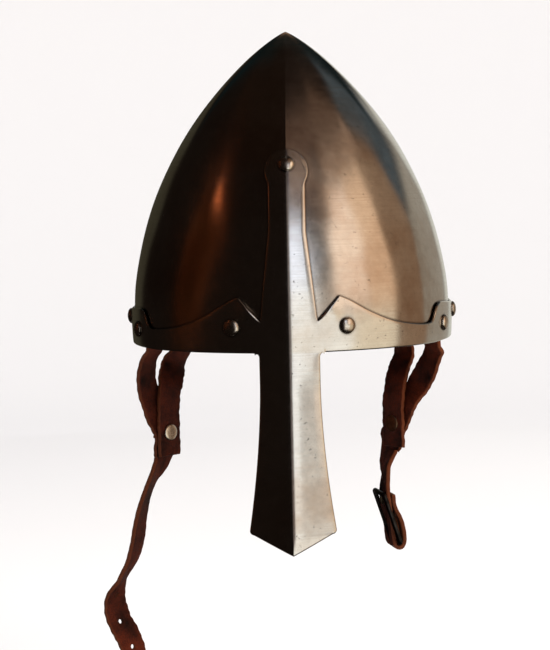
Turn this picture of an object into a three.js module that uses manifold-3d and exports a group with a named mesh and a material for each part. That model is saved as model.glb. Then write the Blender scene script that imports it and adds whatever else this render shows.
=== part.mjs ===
// Nasal helmet: a pointed steel skull with a medial ridge, a riveted brow band that carries the
// nasal, a leather liner, and a forked leather chin strap with a buckle.
// Millimetres, +Z up. The nasal faces -Y. The origin is the centre of the head opening, in the
// plane of the rim. Pieces named left lie at -X and pieces named right at +X, as seen from the
// front.

import * as THREE from "three";
import Module from "manifold-3d";
import { mergeVertices } from "three/addons/utils/BufferGeometryUtils.js";

const wasm = await Module();
wasm.setup();

// Fits
const GAP = 0.3; // between two pieces that touch
const LEATHER_CLEARANCE = 0.3; // more between two straps that are riveted together
const CUT_OVERRUN_LENGTH = 4; // how far a cutter reaches past what it cuts

// Skull
const RIM_HALF_WIDTH = 101;
const RIM_HALF_DEPTH = 118;
const SKULL_HEIGHT = 194;
const SKULL_THICKNESS = 1.6;
const RIM_TUCK_DEPTH = 1.8; // the wall draws in by this much at the rim
const RIM_TUCK_HEIGHT = 36;
const RIM_TUCK_POWER = 1.3;
const PROFILE_POWER = 2.2;
const PROFILE_ROUNDNESS = 0.84;
const APEX_WALL_SHARE = 1.2; // wall height at the apex, in wall thicknesses
const RIDGE_DEPTH_SHARE = 0.028; // how flat the panels beside the medial ridge are
const RIDGE_SPAN = 55; // degrees from the ridge to the soft side crease
const PANEL_NORM = 27 / 4; // makes the deepest point of a panel equal to its depth share
const CREASE_SHARE = 0.006;
const CREASE_SPREAD = 9; // degrees
const SLOPE_STEP = 0.5; // degrees and length over which the skull's slope is taken

// Brow band and nasal
const BAND_THICKNESS = 1.8;
const NOTCH_HALF_WIDTH = 16.9;
const NOTCH_HEIGHT = 18.5;
const PEAK_HEIGHT = 32.6;
const PEAK_AZIMUTH = 17.4;
const BAND_HEIGHT = 12.4;
const BAND_WAIST_AZIMUTH = 53.5;
const BAND_END_SHARE = 0.6; // height of the band's rear ends
const LOBE_HEIGHT = 24;
const LOBE_DIP_DEPTH = 2;
const LOBE_START = 56.6;
const LOBE_CENTRE = 87;
const NECK_HALF_WIDTH = 11;
const NECK_BOTTOM_HEIGHT = 70;
const FINIAL_HEIGHT = 118;
const FINIAL_RADIUS = 13;
const NASAL_LENGTH = 115.7;
const NASAL_POINT_DROP = 11; // from the side corners to the point
const NASAL_TOP_HALF_WIDTH = 18.1;
const NASAL_WIDEST_HALF_WIDTH = 26;
const NASAL_WAIST_DROP = 17;
const NASAL_FLARE_POWER = 1.8;
const NASAL_CORNER_RADIUS = 2.6;
const NASAL_ROOT_RADIUS = 2.6;
const NASAL_FACET = 20; // degrees that each facet falls back from the ridge
const NASAL_LEAN = 6; // degrees forward
const WIDEST_COLUMN = 3.8; // degrees between two columns of the band's surface
const NASAL_BLEND_LENGTH = 25; // length over which the band's curve becomes two flat facets

// Rivets
const RIVET_SHANK_RADIUS = 2.2;
const RIVET_DOME_RADIUS = 4.9;
const RIVET_DOME_HEIGHT = 2.7;
const RIVET_FOOT_RADIUS = 4;
const RIVET_FOOT_HEIGHT = 1.4;
const FINIAL_RIVET_DROP = 9.8; // from the top of the finial
const FRONT_RIVET_AZIMUTH = 19.8;
const FRONT_RIVET_HEIGHT = 15;
const LOBE_RIVET_SPREAD = 20; // degrees from the lobe's centre to each lower rivet
const LOBE_LOWER_RIVET_HEIGHT = 11;
const LOBE_UPPER_RIVET_HEIGHT = 16.6;
const REAR_RIVET_AZIMUTH = 130;

// Liner
const LINER_THICKNESS = 2;
const LINER_BOTTOM_HEIGHT = 3;
const HEADBAND_TOP_HEIGHT = 38;
const TONGUE_COUNT = 8;
const TONGUE_TIP_HEIGHT = 136;
const TONGUE_TIP_RADIUS = 28;
const TONGUE_LEAN_POWER = 3.5; // how late a tongue leaves the skull to lean in
const TONGUE_FILL_SHARE = 0.86;
const TONGUE_WAIST_SHARE = 0.12;
const LACE_RADIUS = 1.1;
const LACE_DROP = 1.75; // from the tips of the tongues down to the lace
const LACE_LEAN_SHARE = 0.3; // how far the lace's weave leans outwards
const LACE_SWING_SHARE = 1.25;
const LACE_FLATNESS_SHARE = 0.6;
const LACE_SLOT_WIDTH = 3.6;
const LACE_SLOT_LENGTH = 12;

// Straps
const STRAP_WIDTH = 19;
const STRAP_THICKNESS = 2.8;
const TAB_TOP_HEIGHT = 21;
const HINGE_DROP = 6; // the legs hang from this far below the rim
const LEFT_FORK_DROP = 66.3;
const RIGHT_FORK_DROP = 63.1;
const FORK_BACK_DISTANCE = 50; // how far behind the helmet's middle the forks join
const LEFT_FORK_DISTANCE = 85.2;
const RIGHT_FORK_DISTANCE = 65.9;
const FORK_FACING = 42; // degrees that the joined straps turn from fore and aft
const LEG_TAIL_LENGTH = 16; // leather below the junction rivet
const FLAT_LENGTH = 13; // the joined straps lie flat on each other this far above the rivet
const FRONT_LEG_SLANT = 31; // degrees in the plane of the fork
const LEFT_HANG_SLANT = -4;
const RIGHT_HANG_SLANT = 28;
const HANG_SPRING_DISTANCE = 2.4; // a strap's way off the plane of the fork below the rear leg's tail
const HANG_UNTWIST = 12; // degrees that a strap has turned back there
const LONG_STRAP_DROP = 224; // from the fork to the tip
const HOLE_RADIUS = 1.5;
const HOLE_PITCH = 19;
const HOLE_COUNT = 7;
const TIP_TAPER_LENGTH = 11;
const TIP_WIDTH_SHARE = 0.35;
const CAP_RIVET_RADIUS = 5.5;
const CAP_RIVET_HEIGHT = 1.2;
const CAP_SHANK_RADIUS = 1.6;
const CAP_CROWN_SHARE = 0.72; // the cap's flat, of its radius

// Buckle
const BUCKLE_ROD_RADIUS = 1.6;
const BUCKLE_WIDTH = 27;
const BUCKLE_LENGTH = 35.3; // between the axes of its two bars
const BUCKLE_CORNER_RADIUS = 3;
const BUCKLE_DISTANCE = 66;
const BUCKLE_DROP = 143;
const BUCKLE_FACING = 14; // degrees
const BUCKLE_TILT = 18.2; // degrees that the frame leans from upright
const TONGUE_WIRE_RADIUS = 1.1;
const TONGUE_OVERHANG_LENGTH = 3.4;
const SLOT_SIDE_CLEARANCE = 0.5;
const SLOT_RISE_LENGTH = 17;
const FOLD_LEAN_SHARE = 0.38; // of the frame's tilt
const FOLD_LENGTH = 33;
const FOLD_RIVET_HEIGHT = 28.5;
const FOLD_RIVET_RADIUS = 3.4;

const steel = { color: 0x9a9690, roughness: 0.42, metalness: 1 };
const bandSteel = { color: 0xa8a49b, roughness: 0.38, metalness: 1 };
const iron = { color: 0x1e1c1b, roughness: 0.55, metalness: 0.9 };
const leather = { color: 0x5a3424, roughness: 0.72, metalness: 0 };
const linerLeather = { color: 0x6b4a30, roughness: 0.8, metalness: 0 };

const helmet = new THREE.Group();

const radians = (degrees) => THREE.MathUtils.degToRad(degrees);
const degrees = (angle) => THREE.MathUtils.radToDeg(angle);
const { lerp, smoothstep, clamp } = THREE.MathUtils;
const steps = (from, to, count) => Array.from({ length: count + 1 }, (_, i) => lerp(from, to, i / count));

function add(parent, name, geometry, look) {
  const mesh = new THREE.Mesh(geometry, new THREE.MeshStandardMaterial(look));
  mesh.name = name;
  parent.add(mesh);
  return mesh;
}

// Solids

const WELD = 1e-4; // vertices this close are one

function toSolid(geometry) {
  const bare = geometry.clone();
  bare.deleteAttribute("normal");
  bare.deleteAttribute("uv");
  const merged = mergeVertices(bare, WELD);
  const vertProperties = Float32Array.from(merged.attributes.position.array);
  const triVerts = Uint32Array.from(merged.index.array);
  return new wasm.Manifold(new wasm.Mesh({ numProp: 3, vertProperties, triVerts }));
}

function toGeometry(solid) {
  const { numProp, vertProperties, triVerts } = solid.getMesh();
  const points = [];
  for (let i = 0; i < vertProperties.length; i += numProp) points.push(...vertProperties.slice(i, i + 3));
  const geometry = new THREE.BufferGeometry();
  geometry.setAttribute("position", new THREE.Float32BufferAttribute(points, 3));
  geometry.setIndex(Array.from(triVerts));
  geometry.computeVertexNormals();
  return geometry;
}

function cut(geometry, cutters) {
  let solid = toSolid(geometry);
  for (const cutter of cutters) solid = solid.subtract(toSolid(cutter));
  return toGeometry(solid);
}

function meshFrom(points, triangles) {
  const geometry = new THREE.BufferGeometry();
  geometry.setAttribute("position", new THREE.Float32BufferAttribute(points.flatMap((p) => p.toArray()), 3));
  geometry.setIndex(triangles.flat());
  geometry.computeVertexNormals();
  return geometry;
}

// A plate from grids of surface parameters. Each grid is rows of columns of [u, v]; outer and
// inner map a parameter pair to a point. Grids that share an edge share its parameters.
function plate(grids, outer, inner) {
  const places = new Map();
  const parameters = [];
  const indexOf = ([u, v]) => {
    const key = outer(u, v).toArray().map((n) => Math.round(n / WELD)).join();
    if (!places.has(key)) {
      places.set(key, parameters.length);
      parameters.push([u, v]);
    }
    return places.get(key);
  };
  const faces = [];
  for (const grid of grids) {
    for (let j = 0; j + 1 < grid.length; j += 1) {
      for (let i = 0; i + 1 < grid[j].length; i += 1) {
        const corner = [grid[j][i], grid[j][i + 1], grid[j + 1][i + 1], grid[j + 1][i]].map(indexOf);
        faces.push([corner[0], corner[1], corner[2]], [corner[0], corner[2], corner[3]]);
      }
    }
  }
  const skin = faces.filter(([a, b, c]) => a !== b && b !== c && c !== a);
  const edges = new Set(skin.flatMap(([a, b, c]) => [`${a},${b}`, `${b},${c}`, `${c},${a}`]));
  const count = parameters.length;
  const triangles = skin.flatMap(([a, b, c]) => [[a, b, c], [a + count, c + count, b + count]]);
  for (const edge of edges) {
    const [a, b] = edge.split(",").map(Number);
    if (!edges.has(`${b},${a}`)) triangles.push([b, a, a + count], [b, a + count, b + count]);
  }
  const points = [...parameters.map((p) => outer(...p)), ...parameters.map((p) => inner(...p))];
  return meshFrom(points, triangles);
}

// A strap along stations {centre, across, thick, halfWidth, halfThickness}, with square ends.
function ribbon(stations) {
  const outline = [[-1, -1], [0, -1], [1, -1], [1, 1], [0, 1], [-1, 1]];
  const points = stations.flatMap(({ centre, across, thick, halfWidth, halfThickness }) => {
    return outline.map(([a, b]) => {
      const edge = centre.clone().addScaledVector(across, a * halfWidth);
      return edge.addScaledVector(thick, b * halfThickness);
    });
  });
  const sides = 6;
  const triangles = [];
  for (let j = 0; j + 1 < stations.length; j += 1) {
    for (let i = 0; i < sides; i += 1) {
      const a = j * sides + i;
      const b = j * sides + ((i + 1) % sides);
      triangles.push([a, b, b + sides], [a, b + sides, a + sides]);
    }
  }
  const last = (stations.length - 1) * sides;
  for (const [a, b, c] of [[0, 5, 1], [1, 5, 4], [1, 4, 2], [2, 4, 3]]) {
    triangles.push([a, b, c], [last + a, last + c, last + b]);
  }
  return meshFrom(points, triangles);
}

// A closed loop of round wire through points, in or near the plane square to up.
function wireLoop(points, radius, sides, up) {
  const rings = [];
  points.forEach((point, i) => {
    const before = points[(i + points.length - 1) % points.length];
    const after = points[(i + 1) % points.length];
    const along = after.clone().sub(before).normalize();
    const side = new THREE.Vector3().crossVectors(along, up).normalize();
    const top = new THREE.Vector3().crossVectors(side, along);
    for (let k = 0; k < sides; k += 1) {
      const turn = (k / sides) * 2 * Math.PI;
      const [out, rise] = [radius * Math.cos(turn), radius * Math.sin(turn)];
      rings.push(point.clone().addScaledVector(side, out).addScaledVector(top, rise));
    }
  });
  const triangles = [];
  for (let j = 0; j < points.length; j += 1) {
    for (let k = 0; k < sides; k += 1) {
      const a = j * sides + k;
      const b = j * sides + ((k + 1) % sides);
      const c = ((j + 1) % points.length) * sides + ((k + 1) % sides);
      const d = ((j + 1) % points.length) * sides + k;
      triangles.push([a, d, c], [a, c, b]);
    }
  }
  return meshFrom(rings, triangles);
}

// The turn that brings a solid of revolution's axis to a direction.
const turnTo = (way) => new THREE.Quaternion().setFromUnitVectors(new THREE.Vector3(0, 1, 0), way);

function rod(from, to, radius, sides) {
  const along = to.clone().sub(from);
  const start = Math.PI / sides;
  const geometry = new THREE.CylinderGeometry(radius, radius, along.length(), sides, 1, false, start);
  geometry.applyQuaternion(turnTo(along.clone().normalize()));
  const middle = from.clone().add(to).multiplyScalar(0.5);
  return geometry.translate(middle.x, middle.y, middle.z);
}

// Skull shape: a point at an azimuth (0 at the nasal, positive to +X), a height and an offset
// outwards from the skull's outer face.

function widthShare(height, offset) {
  const top = SKULL_HEIGHT + APEX_WALL_SHARE * offset;
  const share = clamp(height / top, 0, 1);
  return (1 - share ** PROFILE_POWER) ** PROFILE_ROUNDNESS;
}

function panelShare(azimuth) {
  const turn = Math.abs(((azimuth + 540) % 360) - 180);
  const fromRidge = Math.min(turn, 180 - turn);
  const share = clamp(fromRidge / RIDGE_SPAN, 0, 1);
  const panel = RIDGE_DEPTH_SHARE * PANEL_NORM * share * (1 - share) ** 2;
  const crease = CREASE_SHARE * Math.exp(-(((fromRidge - RIDGE_SPAN) / CREASE_SPREAD) ** 2));
  return 1 - panel + crease;
}

function shell(azimuth, height, offset) {
  const tuck = RIM_TUCK_DEPTH * clamp(1 - height / RIM_TUCK_HEIGHT, 0, 1) ** RIM_TUCK_POWER;
  const tucked = Math.max(height, 0);
  const share = widthShare(tucked, offset) * panelShare(azimuth);
  const reach = offset - Math.min(tuck, RIM_TUCK_DEPTH);
  const angle = radians(azimuth);
  const x = (RIM_HALF_WIDTH + reach) * share * Math.sin(angle);
  const y = -(RIM_HALF_DEPTH + reach) * share * Math.cos(angle);
  return new THREE.Vector3(x, y, height);
}

function shellNormal(azimuth, height) {
  const across = shell(azimuth + SLOPE_STEP, height, 0).sub(shell(azimuth - SLOPE_STEP, height, 0));
  const up = shell(azimuth, height + SLOPE_STEP, 0).sub(shell(azimuth, height - SLOPE_STEP, 0));
  return across.cross(up).normalize();
}

function azimuthOf(halfWidth, height) {
  return degrees(Math.asin(halfWidth / (RIM_HALF_WIDTH * widthShare(Math.max(height, 0), 0))));
}

const grid = (columns, rows) => rows.map((v) => columns.map((u) => [u, v]));
const linerFace = -(SKULL_THICKNESS + GAP + STRAP_THICKNESS + GAP);
const tabFace = -(SKULL_THICKNESS + GAP);

// Rivets through the rim: each has an outer dome, a shank and an inner foot.

function domeRivet(azimuth, height, outerFace, innerFace) {
  const ridgeSlope = (RIDGE_DEPTH_SHARE * PANEL_NORM) / radians(RIDGE_SPAN);
  const onRidge = azimuth % 180 === 0 ? RIVET_FOOT_RADIUS * ridgeSlope : 0;
  const dome = outerFace + GAP;
  const foot = innerFace - GAP - onRidge - (4 * RIVET_FOOT_RADIUS ** 2) / RIM_HALF_WIDTH;
  const profile = [
    [0, foot - RIVET_FOOT_HEIGHT],
    [RIVET_FOOT_RADIUS, foot - RIVET_FOOT_HEIGHT],
    [RIVET_FOOT_RADIUS, foot],
    [RIVET_SHANK_RADIUS, foot],
    [RIVET_SHANK_RADIUS, dome],
    ...steps(0, 90, 3).map((angle) => [
      RIVET_DOME_RADIUS * Math.cos(radians(angle)),
      dome + RIVET_DOME_HEIGHT * Math.sin(radians(angle)),
    ]),
  ].map(([radius, rise]) => new THREE.Vector2(Math.max(radius, 0), rise));
  profile[profile.length - 1].x = 0;
  const place = shell(azimuth, height, 0);
  const geometry = new THREE.LatheGeometry(profile, 9);
  geometry.applyQuaternion(turnTo(shellNormal(azimuth, height)));
  return geometry.translate(place.x, place.y, place.z);
}

function rivetHole(azimuth, height) {
  const normal = shellNormal(azimuth, height);
  const place = shell(azimuth, height, 0);
  const from = place.clone().addScaledVector(normal, linerFace - LINER_THICKNESS - CUT_OVERRUN_LENGTH);
  const to = place.clone().addScaledVector(normal, GAP + BAND_THICKNESS + CUT_OVERRUN_LENGTH);
  return rod(from, to, RIVET_SHANK_RADIUS + GAP, 9);
}

const lobeRivets = [
  ["lower_front", LOBE_CENTRE - LOBE_RIVET_SPREAD, LOBE_LOWER_RIVET_HEIGHT],
  ["upper", LOBE_CENTRE, LOBE_UPPER_RIVET_HEIGHT],
  ["lower_rear", LOBE_CENTRE + LOBE_RIVET_SPREAD, LOBE_LOWER_RIVET_HEIGHT],
];
const sides = [["left", -1], ["right", 1]];
const bandRivets = [["front", FRONT_RIVET_AZIMUTH, FRONT_RIVET_HEIGHT], ...lobeRivets];
const bandHoles = sides.flatMap(([, side]) => {
  return bandRivets.map(([, azimuth, height]) => rivetHole(side * azimuth, height));
});
const finialRivetHeight = FINIAL_HEIGHT - FINIAL_RIVET_DROP;
const finialHole = rivetHole(0, finialRivetHeight);
const rearHoles = [-REAR_RIVET_AZIMUTH, REAR_RIVET_AZIMUTH, 180].map((azimuth) => {
  return rivetHole(azimuth, LOBE_LOWER_RIVET_HEIGHT);
});

function addRivets() {
  const bandFace = GAP + BAND_THICKNESS;
  const linerInside = linerFace - LINER_THICKNESS;
  add(helmet, "finial_rivet", domeRivet(0, finialRivetHeight, bandFace, -SKULL_THICKNESS), steel);
  for (const [word, side] of sides) {
    for (const [name, azimuth, height] of bandRivets) {
      const part = name === "front" ? "front_rivet" : `lobe_rivet_${name}`;
      add(helmet, `${part}_${word}`, domeRivet(side * azimuth, height, bandFace, linerInside), steel);
    }
    const azimuth = side * REAR_RIVET_AZIMUTH;
    add(helmet, `rear_rivet_${word}`, domeRivet(azimuth, LOBE_LOWER_RIVET_HEIGHT, 0, linerInside), steel);
  }
  add(helmet, "rear_rivet_middle", domeRivet(180, LOBE_LOWER_RIVET_HEIGHT, 0, linerInside), steel);
}

// Skull

function addSkull() {
  const columns = steps(0, 360, 54);
  const rowShares = [...steps(0, 0.22, 4), ...steps(0.32, 0.72, 4), 0.8, 0.87, 0.93, 0.97, 1];
  const rows = rowShares.map((share) => share * SKULL_HEIGHT);
  const inside = (azimuth, height) => {
    const innerTop = SKULL_HEIGHT - APEX_WALL_SHARE * SKULL_THICKNESS;
    return shell(azimuth, Math.min(height * (innerTop / SKULL_HEIGHT), innerTop), -SKULL_THICKNESS);
  };
  const geometry = plate([grid(columns, rows)], (u, v) => shell(u, v, 0), (u, v) => {
    const point = inside(u, v);
    return v === 0 ? point.setZ(0) : point;
  });
  add(helmet, "skull", cut(geometry, [finialHole, ...bandHoles, ...rearHoles]), steel);
}

// Brow band with nasal

function finialHalfWidth(height) {
  const climb = clamp((height - NOTCH_HEIGHT) / (NECK_BOTTOM_HEIGHT - NOTCH_HEIGHT), 0, 1);
  const taper = lerp(NOTCH_HALF_WIDTH, NECK_HALF_WIDTH, climb);
  const rise = height - (FINIAL_HEIGHT - FINIAL_RADIUS);
  const head = Math.sqrt(Math.max(FINIAL_RADIUS ** 2 - rise ** 2, 0));
  return rise > 0 ? head : Math.max(taper, head);
}

const nasalWidestDrop = NASAL_LENGTH - NASAL_POINT_DROP - NASAL_CORNER_RADIUS;

function nasalHalfWidth(drop) {
  const fall = clamp((drop - NASAL_WAIST_DROP) / (nasalWidestDrop - NASAL_WAIST_DROP), 0, 1);
  const flare = fall ** NASAL_FLARE_POWER;
  const side = lerp(NASAL_TOP_HALF_WIDTH, NASAL_WIDEST_HALF_WIDTH, flare);
  const root = Math.max(NASAL_ROOT_RADIUS - drop, 0);
  const fillet = NASAL_ROOT_RADIUS - Math.sqrt(NASAL_ROOT_RADIUS ** 2 - root ** 2);
  const past = clamp((drop - nasalWidestDrop) / NASAL_CORNER_RADIUS, 0, 1);
  const corner = NASAL_CORNER_RADIUS * (1 - Math.sqrt(1 - past ** 2));
  return side + fillet - corner;
}

// The lower edge of the nasal: its side corners stand higher than its point.
const nasalDropAt = (drop, share) => {
  const low = nasalWidestDrop + NASAL_CORNER_RADIUS;
  return drop <= low ? drop : lerp(NASAL_LENGTH, low, Math.abs(share));
};

function bandPoint(offset) {
  return (azimuth, height) => {
    if (height >= 0) return shell(azimuth, height, offset);
    const root = shell(azimuth, 0, offset);
    const ridge = shell(0, 0, offset);
    const facet = ridge.y + Math.abs(root.x) * Math.tan(radians(NASAL_FACET));
    const flat = lerp(root.y, facet, smoothstep(-height, 0, NASAL_BLEND_LENGTH));
    return new THREE.Vector3(root.x, flat + height * Math.tan(radians(NASAL_LEAN)), height);
  };
}

const notchAzimuth = azimuthOf(NOTCH_HALF_WIDTH, NOTCH_HEIGHT);
const rootAzimuth = azimuthOf(NASAL_TOP_HALF_WIDTH + NASAL_ROOT_RADIUS, 0);

// The upper edge of each wing, as azimuth and height: notch, peak, hollow, waist, lobe.
function wingEdge() {
  const hollowShares = [
    [0, 1], [0.1, 0.87], [0.2, 0.7], [0.3, 0.53], [0.4, 0.39], [0.5, 0.27], [0.64, 0.14], [0.8, 0.05], [1, 0],
  ];
  const hollow = hollowShares.map(([along, rise]) => [
    lerp(PEAK_AZIMUTH, BAND_WAIST_AZIMUTH, along),
    lerp(BAND_HEIGHT, PEAK_HEIGHT, rise),
  ]);
  const half = LOBE_CENTRE - LOBE_START;
  const stepShares = [[1, 0.06], [0.95, 0.24], [0.9, 0.58], [0.84, 0.84], [0.77, 0.98], [0.7, 1]];
  const dipShares = [[0.35, 0.6], [0, 1]];
  const rise = stepShares.map(([out, up]) => [LOBE_CENTRE - half * out, lerp(BAND_HEIGHT, LOBE_HEIGHT, up)]);
  const dip = dipShares.map(([out, down]) => [LOBE_CENTRE - half * out, LOBE_HEIGHT - LOBE_DIP_DEPTH * down]);
  const turned = [...rise, dip[0]].reverse();
  const mirrored = turned.map(([azimuth, height]) => [2 * LOBE_CENTRE - azimuth, height]);
  const end = 2 * LOBE_CENTRE - BAND_WAIST_AZIMUTH;
  const foot = [end, BAND_HEIGHT * BAND_END_SHARE];
  const corners = [[notchAzimuth, NOTCH_HEIGHT], ...hollow, ...rise, ...dip, ...mirrored, foot];
  return corners.flatMap(([azimuth, height], i) => {
    if (i === 0) return [[azimuth, height]];
    const [before, level] = corners[i - 1];
    const parts = Math.ceil(Math.abs(azimuth - before) / WIDEST_COLUMN);
    const shares = steps(0, 1, parts).slice(1);
    return shares.map((share) => [lerp(before, azimuth, share), lerp(level, height, share)]);
  });
}

function addBand() {
  const rowShares = [0, 0.5, 1];
  const edge = wingEdge();
  const wing = (side) => rowShares.map((share) => {
    const row = edge.map(([azimuth, height], i) => {
      const start = lerp(rootAzimuth, notchAzimuth, share);
      return [side * (i === 0 ? start : azimuth), share * height];
    });
    return side > 0 ? row : row.reverse();
  });
  const across = steps(-1, 1, 6);
  const low = nasalWidestDrop + NASAL_CORNER_RADIUS;
  const cornerShares = [0.85, 0.5];
  const rootShares = [0.5, 0.15];
  const drops = [
    NASAL_LENGTH, low,
    ...cornerShares.map((share) => nasalWidestDrop + NASAL_CORNER_RADIUS * share),
    ...steps(nasalWidestDrop, NASAL_ROOT_RADIUS, 7),
    ...rootShares.map((share) => NASAL_ROOT_RADIUS * share),
  ];
  const nasal = drops.map((drop) => across.map((share) => {
    const azimuth = azimuthOf(nasalHalfWidth(Math.min(drop, low)), 0) * share;
    return [azimuth, -nasalDropAt(drop, share)];
  }));
  const middle = rowShares.map((share) => across.map((side) => {
    return [lerp(rootAzimuth, notchAzimuth, share) * side, share * NOTCH_HEIGHT];
  }));
  const centre = FINIAL_HEIGHT - FINIAL_RADIUS;
  const headShares = [-0.55, -0.3, 0, 0.35, 0.62, 0.82, 0.95, 1];
  const headHeights = headShares.map((share) => centre + FINIAL_RADIUS * share);
  const heights = [
    ...steps(NOTCH_HEIGHT, NECK_BOTTOM_HEIGHT, 4),
    (NECK_BOTTOM_HEIGHT + headHeights[0]) / 2,
    ...headHeights,
  ];
  const finial = heights.map((height) => across.map((side) => {
    const azimuth = azimuthOf(finialHalfWidth(height), height);
    return [height === NOTCH_HEIGHT ? notchAzimuth * side : azimuth * side, height];
  }));
  const grids = [[...nasal, middle[0]], middle, finial, wing(-1), wing(1)];
  const geometry = plate(grids, bandPoint(GAP + BAND_THICKNESS), bandPoint(GAP));
  add(helmet, "brow_band_nasal", cut(geometry, [finialHole, ...bandHoles]), bandSteel);
}

// Liner: a headband with tongues that lean in to the lace.

function tonguePoint(offset) {
  const tipReach = (RIM_HALF_WIDTH + linerFace) * widthShare(TONGUE_TIP_HEIGHT, linerFace);
  const lean = 1 - TONGUE_TIP_RADIUS / tipReach;
  const face = (azimuth, height) => {
    const share = Math.max(height - HEADBAND_TOP_HEIGHT, 0) / (TONGUE_TIP_HEIGHT - HEADBAND_TOP_HEIGHT);
    const drawnIn = 1 - lean * share ** TONGUE_LEAN_POWER;
    return shell(azimuth, height, linerFace).multiply(new THREE.Vector3(drawnIn, drawnIn, 1));
  };
  return (azimuth, height) => {
    if (height <= HEADBAND_TOP_HEIGHT) return shell(azimuth, height, linerFace + offset);
    const across = face(azimuth + SLOPE_STEP, height).sub(face(azimuth - SLOPE_STEP, height));
    const up = face(azimuth, height + SLOPE_STEP).sub(face(azimuth, height - SLOPE_STEP));
    return face(azimuth, height).addScaledVector(across.cross(up).normalize(), offset);
  };
}

const tongueCentre = (i) => ((i + 0.5) * 360) / TONGUE_COUNT;
const laceHeight = TONGUE_TIP_HEIGHT - LACE_DROP;

function lacePoint(azimuth) {
  const middle = tonguePoint(-LINER_THICKNESS / 2)(azimuth, laceHeight);
  const weave = Math.sin(radians((azimuth - tongueCentre(0)) * (TONGUE_COUNT / 2)));
  const depth = LINER_THICKNESS / 2 + LACE_RADIUS + GAP;
  const up = new THREE.Vector3(middle.x, middle.y, 0).normalize().multiplyScalar(LACE_LEAN_SHARE);
  up.z = 1;
  const swing = weave + LACE_FLATNESS_SHARE * (weave - weave ** 3);
  return middle.addScaledVector(up.normalize(), depth * LACE_SWING_SHARE * swing);
}

function addLiner() {
  const half = (180 / TONGUE_COUNT) * TONGUE_FILL_SHARE;
  const pitch = 360 / TONGUE_COUNT;
  const across = steps(-1, 1, 4);
  const columns = [];
  for (let i = 0; i < TONGUE_COUNT; i += 1) {
    across.forEach((side) => columns.push(tongueCentre(i) + side * half));
    columns.push(tongueCentre(i) + pitch / 2);
  }
  columns.push(columns[0] + 360);
  const headband = grid(columns, [LINER_BOTTOM_HEIGHT, HEADBAND_TOP_HEIGHT / 2, HEADBAND_TOP_HEIGHT]);
  const climb = steps(0, 90, 6).map((angle) => Math.sin(radians(angle)));
  const rise = climb.map((share) => lerp(HEADBAND_TOP_HEIGHT, TONGUE_TIP_HEIGHT, share));
  const tongues = Array.from({ length: TONGUE_COUNT }, (_, i) => rise.map((height) => {
    const share = (height - HEADBAND_TOP_HEIGHT) / (TONGUE_TIP_HEIGHT - HEADBAND_TOP_HEIGHT);
    const narrowing = 1 - TONGUE_WAIST_SHARE * Math.sin(share * Math.PI);
    return across.map((side) => [(tongueCentre(i) % 360) + side * half * narrowing, height]);
  }));
  const slots = Array.from({ length: TONGUE_COUNT }, (_, i) => {
    const azimuth = tongueCentre(i);
    const place = tonguePoint(-LINER_THICKNESS / 2)(azimuth, laceHeight);
    const depth = LINER_THICKNESS + 2 * CUT_OVERRUN_LENGTH;
    const slot = new THREE.BoxGeometry(LACE_SLOT_LENGTH, LACE_SLOT_WIDTH, depth);
    const tangent = lacePoint(azimuth + SLOPE_STEP).sub(lacePoint(azimuth - SLOPE_STEP));
    return slot.rotateZ(Math.atan2(tangent.y, tangent.x)).translate(place.x, place.y, place.z);
  });
  const geometry = plate([headband, ...tongues], tonguePoint(0), tonguePoint(-LINER_THICKNESS));
  add(helmet, "liner", cut(geometry, [...bandHoles, ...rearHoles, ...slots]), linerLeather);
  const ring = steps(0, 360, 48).slice(0, -1).map(lacePoint);
  add(helmet, "liner_lace", wireLoop(ring, LACE_RADIUS, 6, new THREE.Vector3(0, 0, 1)), leather);
}

// Straps

const strapPitch = STRAP_THICKNESS + GAP + LEATHER_CLEARANCE; // between the middles of two joined straps
const hingePlace = (azimuth) => shell(azimuth, 0, tabFace - STRAP_THICKNESS / 2).setZ(-HINGE_DROP);
const frontLegAzimuth = LOBE_CENTRE + LOBE_RIVET_SPREAD;

function strapTab(azimuth) {
  const angle = radians(azimuth);
  const speed = Math.hypot(RIM_HALF_WIDTH * Math.cos(angle), RIM_HALF_DEPTH * Math.sin(angle));
  const half = degrees(STRAP_WIDTH / 2 / speed);
  const bottom = GAP + STRAP_THICKNESS / 2 - HINGE_DROP;
  const columns = steps(azimuth - half, azimuth + half, 4);
  const rows = [bottom, 0, TAB_TOP_HEIGHT / 2, TAB_TOP_HEIGHT];
  const inside = (u, v) => shell(u, v, tabFace - STRAP_THICKNESS);
  const geometry = plate([grid(columns, rows)], (u, v) => shell(u, v, tabFace), inside);
  return cut(geometry, [rivetHole(azimuth, LOBE_LOWER_RIVET_HEIGHT)]);
}

// Width direction of a strap on one side, turned by a facing angle from fore and aft.
function widthWay(side, facing) {
  return new THREE.Vector3(-side * Math.sin(radians(facing)), Math.cos(radians(facing)), 0);
}

// Outward direction of a strap's face.
function faceWay(side, facing) {
  return new THREE.Vector3(side * Math.cos(radians(facing)), Math.sin(radians(facing)), 0);
}

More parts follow.
